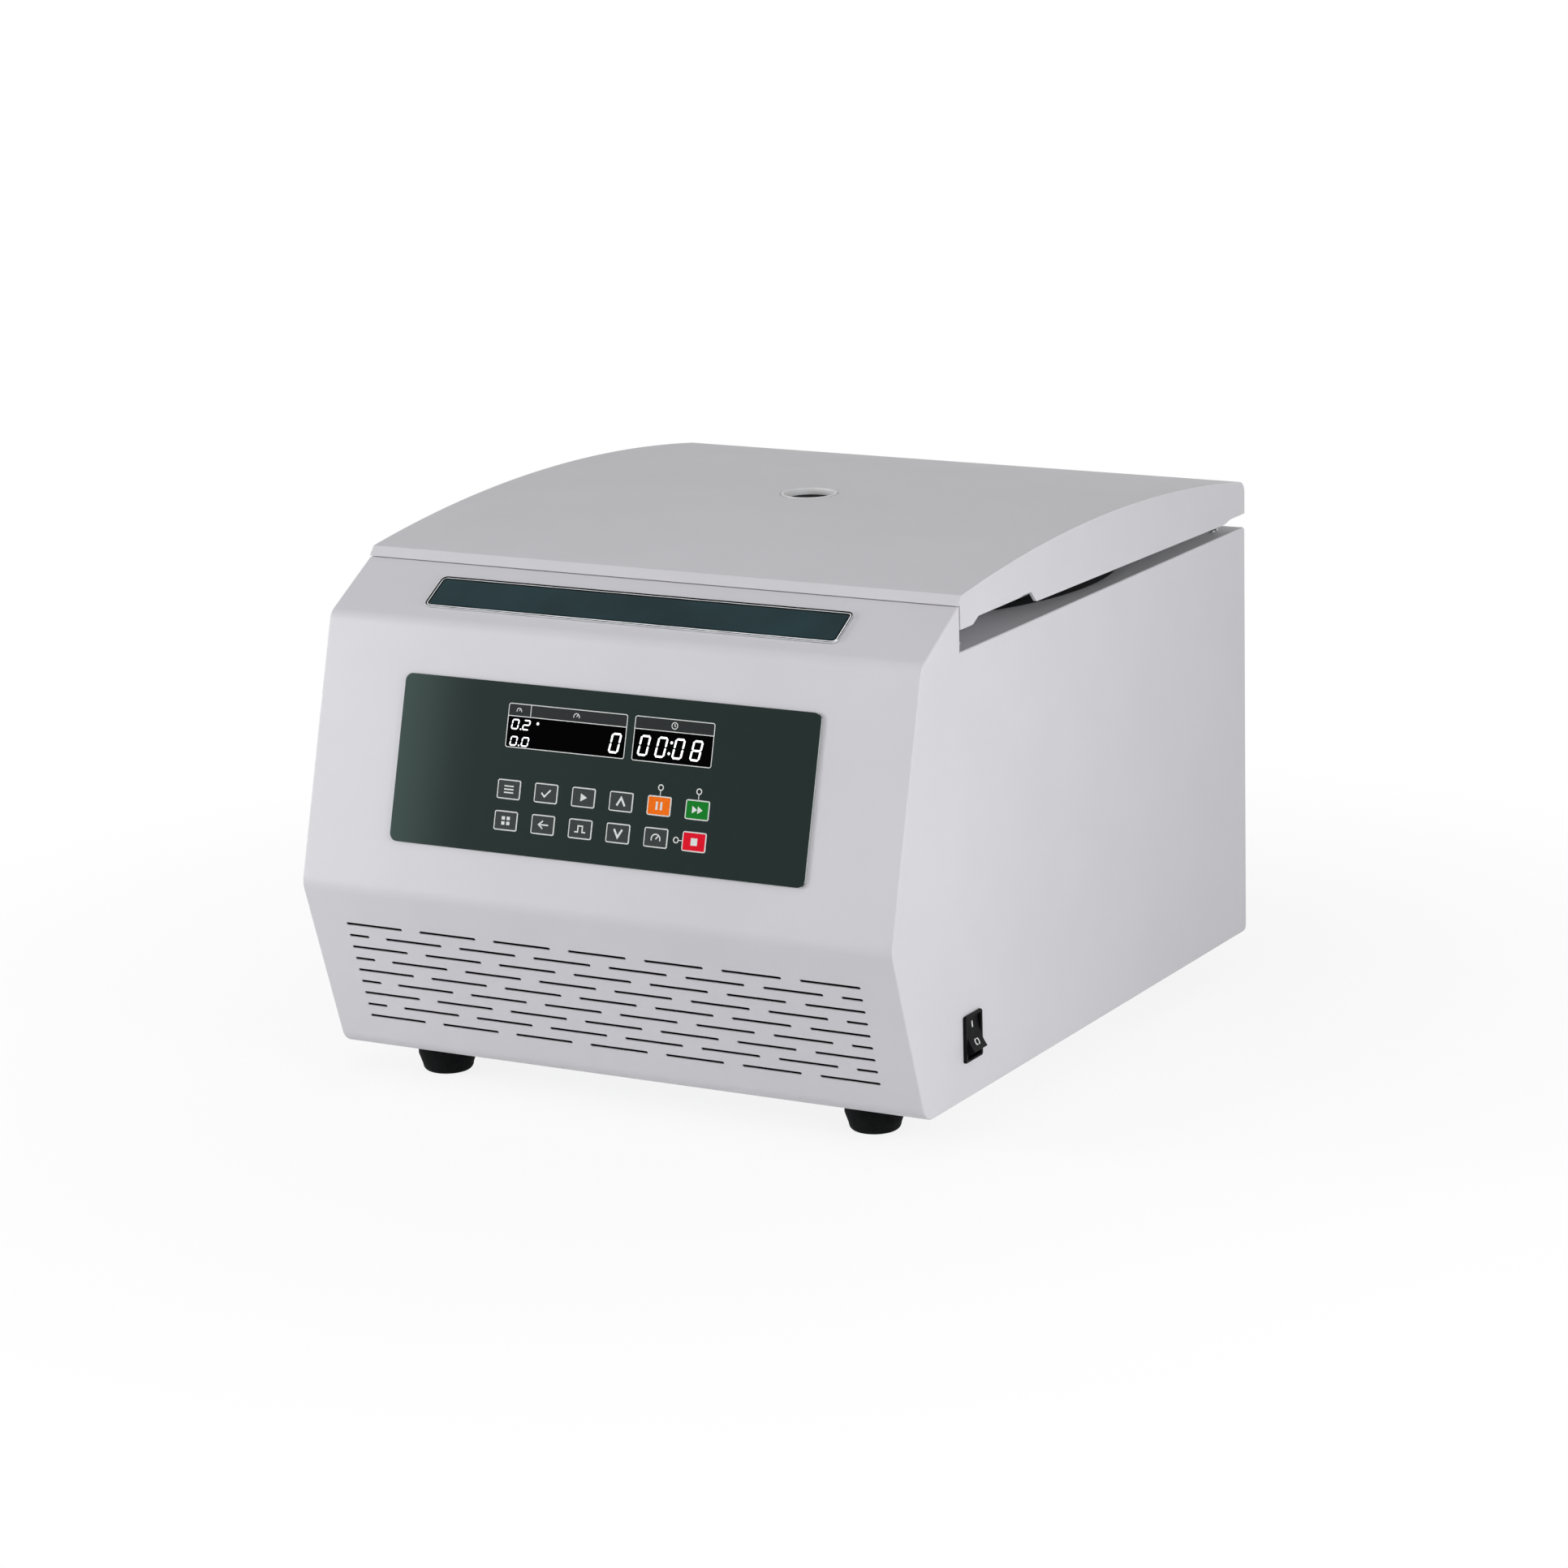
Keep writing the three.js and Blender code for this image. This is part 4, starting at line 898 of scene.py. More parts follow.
def make_housing():
    outline = rounded([
        (*TOE, TOE_RADIUS),
        (*LOW_BEND, LOW_BEND_RADIUS),
        (*HIGH_BEND, HIGH_BEND_RADIUS),
        (*BROW, 0),
        (BROW_BACK, BROW[1], 0),
        (BROW_BACK, SIDE_HEIGHT, 0),
        (DEPTH, SIDE_HEIGHT, TOP_REAR_RADIUS),
        (DEPTH, 0, HEEL_RADIUS),
    ], 12)
    housing = across("case_shell", outline, HALF_WIDTH)
    round_edges(housing, 1.1, 3, side_edge)
    lip_end = TOE[0] + TOE_LIP
    upright = BROW_BACK - WALL
    flange = SIDE_HEIGHT - BROW_FLANGE
    ground = (DEPTH, 0)
    under_brow = inset_meet(HIGH_BEND, BROW, (BROW[0], 0), WALL)
    brow_slope = 0.556
    hollow = rounded([
        (lip_end, -1, 0),
        (lip_end, WALL, 0),
        (*inset_meet(ground, TOE, LOW_BEND, WALL), TOE_RADIUS - WALL),
        (*inset_meet(TOE, LOW_BEND, HIGH_BEND, WALL), LOW_BEND_RADIUS - WALL),
        (*inset_meet(LOW_BEND, HIGH_BEND, BROW, WALL), HIGH_BEND_RADIUS - WALL),
        (upright, under_brow.y + (upright - under_brow.x) * brow_slope, 0),
        (upright, flange, 0),
        (BROW_BACK, flange, 0),
        (BROW_BACK, SIDE_HEIGHT + 1, 0),
        (DEPTH + 1, SIDE_HEIGHT + 1, 0),
        (DEPTH + 1, -1, 0),
    ], 12)
    switch = block("switch_cutter", (190, 86.7, 22.8), (210, 107.9, 50.2))
    windows = [display_cutter(*DISPLAYS[name]) for name in DISPLAYS]
    field = block("slot_field", (-183, 17, -WALL - 2), (183, 98, -0.8))
    carve(housing, across("case_hollow", hollow, INNER_HALF), settle(field, LOW_FACE))
    carve(housing, slot_cutters(), switch, *windows)
    # The near-black screen behind the slots is a dust screen and also painted shade: it stands for
    # the dark inside of the case.
    mesh = settle(block("dust_and_shade_screen", (-184, 16, -WALL - 0.8), (184, 99, -WALL)), LOW_FACE)
    wear(mesh, DUST_AND_SHADE_SCREEN)
    wear(housing, PAINT)
    housing = joined(mesh, housing)
    finished(housing, INTO_FRAME, "case", "case_paint", "housing")


make_housing()


def lid_height(y, inset=0):
    radius = LID_ARC - inset
    return LID_TOP - inset - radius + math.sqrt(radius**2 - (y - LID_PEAK) ** 2)


def lid_curve(start, end, inset=0, steps=28):
    depths = [start + (end - start) * k / steps for k in range(steps + 1)]
    return [(y, lid_height(y, inset), 0) for y in depths]


def make_lid():
    notch, step, back = SIDE_HEIGHT + 17.4, SIDE_HEIGHT + 10.4, SIDE_HEIGHT + 6.9
    leg = SIDE_HEIGHT + 13
    outline = rounded([
        (LID_FRONT, LID_LIP, 0),
        (BROW[0], LID_LIP, 0),
        *lid_curve(LID_BROW, LID_BACK - 9),
        (LID_BACK, lid_height(LID_BACK) - 0.5, 8),
        (LID_BACK, back + 1.8, 0.9),
        (LID_BACK - 22, back + 1.8, 1.8),
        (LID_BACK - 31, back, 1.8),
        (191, step, 1.8),
        (184, notch, 0.9),
        (116.6, notch, 2.15),
        (108, leg, 4.3),
        (LID_FRONT, leg, 0),
    ])
    lid = across("lid_shell", outline, HALF_WIDTH)
    round_edges(lid, 0.8, 3, lambda a, b: side_edge(a, b) and min(a.z, b.z) > LID_LIP - 0.1)
    front, rear = LID_FRONT + WALL, LID_BACK - WALL
    hollow = [(front, 250, 0), *lid_curve(front, rear, WALL), (rear, 250, 0)]
    carve(lid, across("lid_hollow", rounded(hollow), INNER_HALF))
    for x in LID_POSTS[0]:
        for y in LID_POSTS[1]:
            weld(lid, rod("post", 6, LINER_TOP + GAP, lid_height(y) - WALL / 2, x, y, 24))
    carve(lid, rod("sight_hole", SIGHT_RADIUS + GAP, 270, 330, 0, LID_PEAK, 96))
    finished(lid, INTO_FRAME, "lid", "case_paint", "lid_cover", PAINT, angle=25)


make_lid()


def make_liner():
    """The sheet inside the lid, with a shallow dish pressed into it over the chamber."""
    outline = rounded([
        (-190, 96, 5), (190, 96, 5), (190, 453, 5), (108, 453, 3),
        (108, 482, 5), (-108, 482, 5), (-108, 453, 3), (-190, 453, 5),
    ], 5)
    liner = plate("liner_sheet", outline, LINER_BOTTOM, LINER_TOP)
    carve(liner, rod("dish_hole", 160, 270, 290, 0, ROTOR_Y, 96))
    dish = turn("dish", [
        (0, 281.8), (148, 281.8), (151, 281.4), (157, 279.2), (160, LINER_BOTTOM),
        (161, LINER_BOTTOM), (161, LINER_TOP), (159, 280.9), (153, 283), (148, 283.4), (0, 283.4),
    ])
    weld(liner, settle(dish, at(0, ROTOR_Y)))
    carve(liner, rod("sight_hole", SIGHT_RADIUS + GAP, 270, 290, 0, LID_PEAK, 96))
    wear(liner, DECK_PAINT)
    heads = screws(3.6, 1.9, [p @ DOWNWARDS for p in grid(*LID_POSTS, LINER_BOTTOM)])
    finished(joined(*heads, liner), INTO_FRAME, "lid", "deck_paint", "lid_liner")


make_liner()


# Base plate, rear panel and feet


def make_base():
    front = TOE[0] + TOE_LIP + GAP
    low = (-INNER_HALF + GAP, front, 0)
    base = block("base_sheet", low, (INNER_HALF - GAP, REAR_FACE - GAP, WALL))
    rows = [rectangle(4, 60, 2, (k - 4) * 12, 200) for k in range(9)]
    carve(base, joined(*[plate("vent", row, -1, WALL + 1) for row in rows]))
    soften(base, 0.3)
    finished(base, INTO_FRAME, "case", "steel", "base_plate", STEEL)


def make_rear_panel():
    low = (-INNER_HALF + GAP, REAR_FACE - WALL, WALL + GAP)
    panel = block("rear_sheet", low, (INNER_HALF - GAP, REAR_FACE, DECK_BOTTOM - GAP))
    upright = at(0, REAR_FACE - WALL / 2) @ about("X", math.pi / 2)
    cutters = [block("inlet_hole", (125.7, 480, 51.2), (154.3, 500, 72.8))]
    for row in range(7):
        for x in (-100, 100):
            slot = plate("rear_slot", rectangle(90, 3, 1.49, x, 150 + 9 * row), -3, 3)
            cutters.append(settle(slot, upright))
    carve(panel, joined(*cutters))
    soften(panel, 0.25)
    wear(panel, PAINT)
    spots = [(x, z) for x in (-188, 188) for z in (14, 132, 252)] + [(119.5, 62), (160.5, 62)]
    outwards = about("X", -math.pi / 2)
    heads = screws(3.4, 1.9, [at(x, REAR_FACE, z) @ outwards for x, z in spots])
    finished(joined(*heads, panel), INTO_FRAME, "case", "case_paint", "rear_panel")


def make_feet():
    foot = turn("foot", [
        (0, 6), (3.6, 6), (3.6, 0.5), (4.1, 0), *quarter(12, 4, 3.6, 4), (18, 11), (18, 18.7),
        (17.4, 19.3), (0, 19.3),
    ], 64)
    wear(foot, RUBBER)
    foot = joined(*screws(3.2, 2, [at(0, 0, 6) @ DOWNWARDS]), foot)
    rows = []
    for end, y in (("front", 73), ("rear", 420)):
        for side, x in (("left", -148), ("right", 148)):
            place = at(x, y, -FOOT_HEIGHT)
            rows.append((f"rubber_foot_{end}_{side}", place, "case", f"foot_{end}_{side}"))
    repeated(foot, rows, INTO_FRAME, "rubber")


make_base()
make_rear_panel()
make_feet()


# Control panel

KEY_NAMES = [
    ["menu", "confirm", "start", "up", "pause", "run"],
    ["program", "back", "pulse", "down", "speed", "stop"],
]
KEY_FACES = {
    "pause": (KEY_ORANGE, "key_orange"), "run": (KEY_GREEN, "key_green"),
    "stop": (KEY_RED, "key_red"),
}
KEYS = {}
for rise, row in zip(KEY_RISES, KEY_NAMES):
    for column, name in enumerate(row):
        KEYS[name] = (KEY_FIRST_X + column * KEY_PITCH, rise)
LAMP_OFFSETS = {"pause": (0, 10.7), "run": (0, 10.7), "stop": (-12.1, 0)}
LAMPS = {name: (KEYS[name][0] + x, KEYS[name][1] + y) for name, (x, y) in LAMP_OFFSETS.items()}


def make_film():
    sheet = plate("panel_film", rectangle(*PANEL_SIZE, 5, 0, PANEL_SIZE[1] / 2, 8), GAP, PANEL_FACE)
    round_edges(sheet, 0.25, 2, above(PANEL_FACE - 0.01))
    room = 2 * GAP
    window = DISPLAY_HEIGHT + room
    holes = [rectangle(w + room, window, 1.6, x, DISPLAY_RISE) for x, w in DISPLAYS.values()]
    key = [side + room for side in KEY_SIZE]
    holes += [rectangle(*key, 1.3, x, y) for x, y in KEYS.values()]
    holes += [circle(1.8, x, y, 32) for x, y in LAMPS.values()]
    carve(sheet, joined(*[plate("hole", hole, 0, 3) for hole in holes]))
    wear(sheet, FILM, FILM_EDGE)
    paint_faces(sheet, 1, lambda c, n: abs(n.z) < 0.5 and (abs(c.x) > 140 or not 1 < c.y < 99.6))
    prints = []
    for name, (x, y) in LAMPS.items():
        top = PRINT_HEIGHT
        ring = turn("ring", [(1.25, 0), (1.9, 0), (1.9, top), (1.25, top), (1.25, 0)], 32)
        wear(ring, INK)
        prints.append(settle(ring, at(x, y, PANEL_FACE)))
        if name == "stop":
            lead = bar((x + 1.9 + KEYS[name][0] - KEY_SIZE[0] / 2 - GAP) / 2, y, 2, 0.5)
        else:
            lead = bar(x, (y - 1.9 + KEYS[name][1] + KEY_SIZE[1] / 2 + GAP) / 2, 0.5, 2.75)
        prints += marks([lead], PANEL_FACE, INK)
    finished(joined(*prints, sheet), PANEL, "case", "panel_film", "panel_overlay")


def make_key(name, x, y):
    top = PANEL_FACE + KEY_PROUD
    low = top - KEY_THICKNESS
    key = plate("cap_" + name, rectangle(*KEY_SIZE, 1.2), low, top - 0.1)
    face, slot = KEY_FACES.get(name, (KEY_GREY, "key_grey"))
    wear(key, INK, face)
    frame_steps = (0.12, 0.06), (0.4, 0), (0.12, 0.02)
    stepped(key, top - 0.1, (0, frame_steps), (1, ((0.1, 0),)))
    prints = marks(ICONS[name], top - 0.02, INK, height=0.02)
    key = joined(*prints, key)
    finished(key, PANEL @ at(x, y), "key_" + name, slot, "key_" + name)


def make_lamps():
    lens = turn("lens", [
        (0, GAP), (1.5, GAP), (1.5, 1.15), (1.25, 1.45), (0.7, 1.57), (0, 1.6),
    ], 24)
    wear(lens, LENS)
    rows = [("lens_" + name, at(*place), "case", "lamp_" + name) for name, place in LAMPS.items()]
    repeated(lens, rows, PANEL, "lamp_lens")


# Lines printed on the windows, counted from their middles
FRAME_LINE = 0.5
HEADER_LINE = 5.6
DIVIDER = -25.2


def make_display(name, figures, dots, icons):
    x, width = DISPLAYS[name]
    face = PANEL_FACE - PRINT_HEIGHT
    module = plate("window_" + name, rectangle(width, DISPLAY_HEIGHT, 1.5), -DISPLAY_DEPTH, face)
    wear(module, PLASTIC, WINDOW)
    paint_faces(module, 1, lambda c, n: n.z > 0.9)
    parts = []
    outer = plate("window_line", rectangle(width, DISPLAY_HEIGHT, 1.5), face, PANEL_FACE)
    inside = [side - 2 * FRAME_LINE for side in (width, DISPLAY_HEIGHT)]
    carve(outer, plate("inside", rectangle(*inside, 1), face - 1, PANEL_FACE + 1))
    wear(outer, INK)
    half_width, top = width / 2 - FRAME_LINE, DISPLAY_HEIGHT / 2 - FRAME_LINE
    band_middle = (top + HEADER_LINE) / 2
    band = bar(0, band_middle, 2 * half_width, top - HEADER_LINE)
    parts += marks([band], face, HEADER, height=PRINT_HEIGHT / 2)
    lines = [bar(0, HEADER_LINE, 2 * half_width, 0.45)]
    if name == "speed":
        lines.append(bar(DIVIDER, band_middle, 0.45, top - HEADER_LINE))
    parts += marks(lines + icons, face, INK)
    lit = [outline for figure in figures for outline in digit(*figure)]
    lit += [circle(radius, *place, 20) for *place, radius in dots]
    parts += marks(lit, face, SEGMENT)
    module = joined(*parts, outer, module)
    place = PANEL @ at(x, DISPLAY_RISE)
    finished(module, place, "case", "display_black", "display_" + name)


# Width, slant and stroke of the small and the large figures
SMALL = (4.1, 0.17, 0.8)
LARGE = (5.6, 0.17, 1.2)

make_film()
for name, (x, y) in KEYS.items():
    make_key(name, x, y)
make_lamps()
make_display(
    "speed",
    [
        ("0", -35, 0.8, 5.4, *SMALL), ("2", -27.4, 0.8, 5.4, *SMALL),
        ("0", -35, -9.1, 5.0, *SMALL), ("0", -27.2, -9.1, 5.0, *SMALL),
        ("0", 33.6, -4.3, 10.8, *LARGE),
    ],
    [(-31.1, -1.9, 0.5), (-31.3, -11.5, 0.5), (-19.7, 2.3, 0.85)],
    gauge_face(6, 9.2, 1.9, 0.5) + gauge_face(-33.2, 9.2, 1.6, 0.45),
)
make_display(
    "time",
    [(f, x, -3.9, 11.1, *LARGE) for f, x in zip("0008", (-19.1, -7.5, 4.0, 15.9))],
    [(-0.9, -0.7, 0.85), (-2.1, -7.1, 0.85)],
    clock_face(0, 9.2, 1.9, 0.5),
)


# Name strip, left bare


def make_strip():
    bezel = plate("strip_frame", rectangle(*STRIP_SIZE, STRIP_RADIUS, steps=10), GAP, 0.95)
    wear(bezel, BEZEL, BEAD_AND_HIGHLIGHT)
    # The outer wall and the bright bands are a bright bead and also painted highlight: they stand
    # for the lit lip of a recess that the strip does not have.
    paint_faces(bezel, 1, lambda c, n: n.z < 0.9)
    stepped(
        bezel, 0.95,
        (1, ((0.12, 0.32),)),
        (0, ((0.08, 0.15), (0.25, 0.02), (0.55, -0.42))),
        (1, ((0.06, 0.02), (0.45, 0.02))),
        (0, ((0.15, -0.05), (0.3, -0.03), (0.15, -0.15))),
    )
    width = 2.2
    inner = [side - 2 * width for side in STRIP_SIZE]
    carve(bezel, plate("inner", rectangle(*inner, STRIP_RADIUS - width / 2, steps=10), -1, 3))
    finished(bezel, STRIP, "case", "gloss_black", "strip_bezel")
    rim = width + GAP
    size = [side - 2 * rim for side in STRIP_SIZE]
    insert = plate("strip_insert", rectangle(*size, STRIP_RADIUS - rim / 2, steps=10), GAP, 1.1)
    round_edges(insert, 0.3, 3, above(1.09))
    finished(insert, STRIP, "case", "strip_teal", "name_strip", TEAL)


make_strip()


# Sight glass


def make_sight():
    outer, bore, shoulder = SIGHT_RADIUS, SIGHT_BORE, 13.5
    low, top = LINER_BOTTOM + GAP, 312.7
    ring = turn("sight_rim", [
        (shoulder, low + 0.4), (shoulder + 0.4, low), (outer - 0.4, low), (outer, low + 0.4),
        (outer, top - 0.5), (outer - 0.15, top - 0.15), (outer - 0.5, top), (bore + 0.4, top),
        (bore + 0.1, top - 0.1), (bore, top - 0.4), (bore, 304.4), (shoulder + 0.3, 304.4),
        (shoulder, 304.1), (shoulder, low + 0.4),
    ], 96)
    wear(ring, RIM_PAINT, BORE_PAINTED_LIGHT)
    # The top of the bore is painted near white, lighter than the rim, as painted light on the far
    # wall of the recess.
    paint_faces(ring, 1, lambda c, n: math.hypot(c.x, c.y) < bore + 0.2 and c.z > 308)
    finished(ring, SIGHT, "lid", "aluminium", "sight_ring")
    edge = bore - GAP
    glass = turn("sight_pane", [
        (0, 304.7), (edge - 0.4, 304.7), (edge, 305.1), (edge, 308.3), (edge - 0.4, 308.7),
        (0, 308.7),
    ], 96)
    finished(glass, SIGHT, "lid", "clear_glass", "sight_glass", GLASS)


make_sight()


# Mains switch

SWITCH = INTO_FRAME @ at(HALF_WIDTH, 97.3, 36.5)
SWITCH_SIZE = (22.2, 28.4)
ROCKER_HALF_WIDTH = 8.3
ROCKER_DEPTH = 5.25
ROCKER_TILT = math.radians(17)
ONTO_SIDE = Matrix(((0, 0, 1, 0), (1, 0, 0, 0), (0, 1, 0, 0), (0, 0, 0, 1)))


def make_switch_frame():
    """The bezel is drawn flat with Y up, then turned to face out of the side wall."""
    bezel = plate("switch_bezel", rectangle(*SWITCH_SIZE, 1.6, steps=6), GAP, 1.3)
    wear(bezel, SWITCH_BLACK)
    stepped(bezel, 1.3, (0, ((0.2, 0.4), (0.3, 0.25), (0.3, 0.05), (0.3, -0.05))))
    body = block("switch_body", (-10.3, -13.4, -18), (10.3, 13.4, 1))
    well = plate("switch_well", rectangle(17.2, 25.2, 0.6, steps=3), -16, 3)
    carve(weld(bezel, body), well)
    finished(bezel, SWITCH @ ONTO_SIDE, "case", "black_plastic", "switch_frame", SWITCH_BLACK)


def rocker_half():
    """Half the rocker's outline about its pivot: (out, up), from its middle to its back."""
    points = [
        (7.1, 0), (7.17, 2), (7.42, 4.3), (7.83, 6.5), (8.35, 8.4), (8.85, 9.8), (8.87, 10.1),
        (8.65, 10.3),
    ]
    corner = Matrix.Rotation(-ROCKER_TILT, 2)
    for out, up in ((2.0, 12.2), (-1.9, 11.6), (-4, 9.2)):
        points.append(tuple(corner @ Vector((out, up))))
    return points


def make_rocker():
    half = rocker_half()
    outline = half + [(out, -up) for out, up in half[:0:-1]]
    rocker = along_y("rocker_cap", outline, ROCKER_HALF_WIDTH)
    round_edges(rocker, 0.6, 3, lambda a, b: abs(abs(a.y) - ROCKER_HALF_WIDTH) < 0.01
                and abs(a.y - b.y) < 0.01 and min(a.x, b.x) > 4)
    wear(rocker, SWITCH_BLACK)
    parts = []
    tilt = math.atan2(7.83 - 7.42, 6.5 - 4.3)
    for sign, outlines in (
        (1, [bar(0, 0, 1.3, 5)]),
        (-1, [stroke(arc(2.2, 0, 180), 1), stroke(arc(2.2, 180, 360), 1)]),
    ):
        place = at(7.63, 0, sign * 5.4) @ about("Y", sign * tilt) @ ONTO_SIDE
        parts += marks(outlines, 0, INK, place, 0.06)
    rocker = joined(*parts, rocker)
    pressed = at(-ROCKER_DEPTH, 0) @ about("Y", -ROCKER_TILT)
    finished(rocker, SWITCH @ pressed, "rocker", "black_plastic", "switch_rocker")


make_switch_frame()
make_rocker()


# Deck, chamber and seal


def make_deck():
    deck = cad_copy("deck_sheet", "top_deck")
    soften(deck, 0.3)
    wear(deck, DECK_PAINT)
    heads = screws(3.4, 1.9, grid((-186, 186), (112, 474), DECK_TOP))
    finished(joined(*heads, deck), INTO_FRAME, "case", "deck_paint", "top_deck")


def make_bowl():
    outer, floor, low, flange = BOWL_RADIUS, BOWL_FLOOR, BOWL_FLOOR - 2, DECK_TOP + GAP
    inner = outer - 2
    inside = quarter(inner - 18, floor + 18, 18, 18)[::-1]
    bowl = turn("bowl", [
        (20, low), *quarter(outer - 20, low + 20, 20, 20), (outer, flange), (outer + 8, flange),
        (outer + 8, flange + 2), (inner + 2.5, flange + 2), (inner + 0.8, flange + 1.3),
        (inner, flange - 0.5), *inside, (24, floor), (22.5, floor + 0.8), (22, floor + 2.5),
        (22, floor + 5.5), (21.5, floor + 6), (20.5, floor + 6), (20, floor + 5.5), (20, low),
    ], 128)
    finished(bowl, ROTOR, "case", "bowl_steel", "chamber_bowl", BOWL_STEEL)


def make_seal():
    rim, low, top = SEAL_RADIUS, DECK_TOP + GAP, SEAL_TOP
    foot, lip = rim - 9.5, rim - 18
    seal = turn("seal_ring", [
        (foot, low), (rim - 0.6, low), (rim, low + 0.6), (rim, low + 3), (rim - 0.9, low + 3.6),
        (rim - 0.9, low + 4.8), (rim, low + 5.4), (rim, top - 2.2), (rim - 0.7, top - 0.7),
        (rim - 2.2, top), (rim - 7, top), (rim - 7.8, top - 0.9), (rim - 9.4, top - 0.9),
        (rim - 10.2, top), (lip + 2.2, top), (lip + 0.7, top - 0.7), (lip, top - 2.2),
        (lip, top - 7), (lip + 1, top - 8), (foot, top - 8), (foot, low),
    ], 128)
    finished(seal, ROTOR, "case", "rubber", "chamber_seal", RUBBER)


make_deck()
make_bowl()
make_seal()


# Lid hinges and lock


def make_hinge_sheet(name, node, body, spots):
    sheet = soften(cad_copy(name, node), 0.25)
    wear(sheet, ZINC)
    sheet = joined(*screws(2.6, 1.5, spots), sheet)
    finished(sheet, INTO_FRAME, body, "steel", node)


def make_hinges():
    y, z = HINGE_PIN
    for side, x in (("left", -HINGE_X), ("right", HINGE_X)):
        spots = grid((x - 15.5, x + 15.5), (y - 18,), DECK_TOP + GAP + 2)
        make_hinge_sheet("leaf_" + side, "hinge_leaf_" + side, "case", spots)
        pin = turn("pin_" + side, [
            (0, -13), (2.4, -13), (3, -12.4), (3, 12.4), (2.4, 13), (0, 13),
        ], 40)
        place = INTO_FRAME @ at(x, y, z) @ about("Y", math.pi / 2)
        finished(pin, place, "case", "steel", "hinge_pin_" + side, STEEL)
        spots = grid((x - 13.5, x + 13.5), (y - 38,), LINER_TOP + GAP + 2)
        make_hinge_sheet("bracket_" + side, "lid_bracket_" + side, "lid", spots)


def make_lock():
    for name, node, body, slot, width, material in (
        ("striker", "lid_striker", "lid", "steel", 0.3, ZINC),
        ("bolt", "lock_bolt", "lock_bolt", "steel", 0.4, STEEL),
        ("magnet_case", "lock_housing", "case", "dark_metal", 0.5, DARK_METAL),
    ):
        piece = soften(cad_copy(name, node), width, 3)
        finished(piece, INTO_FRAME, body, slot, node, material)


make_hinges()
make_lock()


# Motor and its mounts


def make_motor():
    bottom, top = 24.3, 100.8
    body = turn("motor", [
        (0, bottom), (46, bottom), (49, bottom + 3), (49, bottom + 12), (44, bottom + 12),
        (44, top - 18), (49, top - 18), (49, top - 10), (47, top - 6), (30, top - 3),
        (26, top), (0, top),
    ], 96)
    fins = []
    for k in range(32):
        fin = block("fin", (42, -0.9, bottom + 12), (54.5, 0.9, top - 18))
        fins.append(settle(fin, about("Z", 2 * math.pi * k / 32)))
    weld(body, joined(*fins))
    for low in (bottom + 3, top - 15):
        for k in range(4):
            lug = rod("lug", 5, low, low + 7, 47.5, 0, 24)
            weld(body, settle(lug, about("Z", math.pi / 2 * k + math.pi / 4)))
    soften(body, 0.3)
    finished(body, ROTOR, "case", "dark_metal", "motor_body", DARK_METAL)


def make_mounts():
    base = turn("motor_base", [(0, 20), (84, 20), (85, 21), (85, 23), (84, 24), (0, 24)], 96)
    for t in (math.pi / 6, math.pi * 5 / 6, math.pi * 9 / 6):
        carve(base, rod("hole", 6, 10, 30, 72 * math.cos(t), 72 * math.sin(t)))
    finished(base, ROTOR, "case", "aluminium", "motor_plate", ALUMINIUM)
    mount = turn("mount", [
        (0, 0), (9.6, 0), (10, 0.4), (10, 1.2), (8.4, 3.6), (7.4, 6.2), (7, 8.7), (7.4, 11.2),
        (8.4, 13.8), (10, 16.2), (10, 17), (9.6, 17.4), (0, 17.4),
    ], 40)
    wear(mount, RUBBER)
    rows = []
    for k in range(3):
        t = 2 * math.pi * k / 3 - math.pi / 2
        place = at(68 * math.cos(t), 68 * math.sin(t), 2.3)
        rows.append((f"rubber_mount_{k + 1}", place, "case", f"motor_mount_{k + 1}"))
    repeated(mount, rows, ROTOR, "rubber")


make_motor()
make_mounts()


# Rotor and buckets

SPINDLE = ROTOR @ at(0, 0, PIVOT_Z)


def make_shaft():
    threads = [point for rise in range(11, 25, 2) for point in ((8, rise), (7.3, rise + 1))]
    shaft = turn("shaft", [
        (0, -110.9), (9.4, -110.9), (10, -110.3), (10, -20.3), (13.5, -20.3), (14, -19.8),
        (14, -12.8), (13.5, -12.3), (8, -12.3), *threads, (7.2, 24.3), (0, 24.3),
    ], 64)
    finished(shaft, SPINDLE, "rotor", "steel", "motor_shaft", STEEL)


def make_nut():
    nut = turn("nut", [
        (8.3, 10.3), (15.4, 10.3), (16, 10.9), (16, 19.7), (15.2, 20.6), (11.4, 28.6),
        (10.6, 29.3), (3, 29.3), (2.4, 28.4), (0, 28.4), (0, 24.6), (8.3, 24.6), (8.3, 10.3),
    ], 96)
    grooves = []
    for k in range(20):
        groove = rod("groove", 1.0, 11.2, 19.6, 16.3, 0, 12)
        grooves.append(settle(groove, about("Z", math.pi / 10 * k)))
    carve(nut, joined(*grooves))
    finished(nut, SPINDLE, "rotor", "dark_metal", "rotor_nut", DARK_METAL)


def make_yoke():
    yoke = soften(cad_copy("yoke", "rotor_yoke"), 0.7, 3)
    finished(yoke, INTO_FRAME, "rotor", "aluminium", "rotor_yoke", ROTOR_METAL)


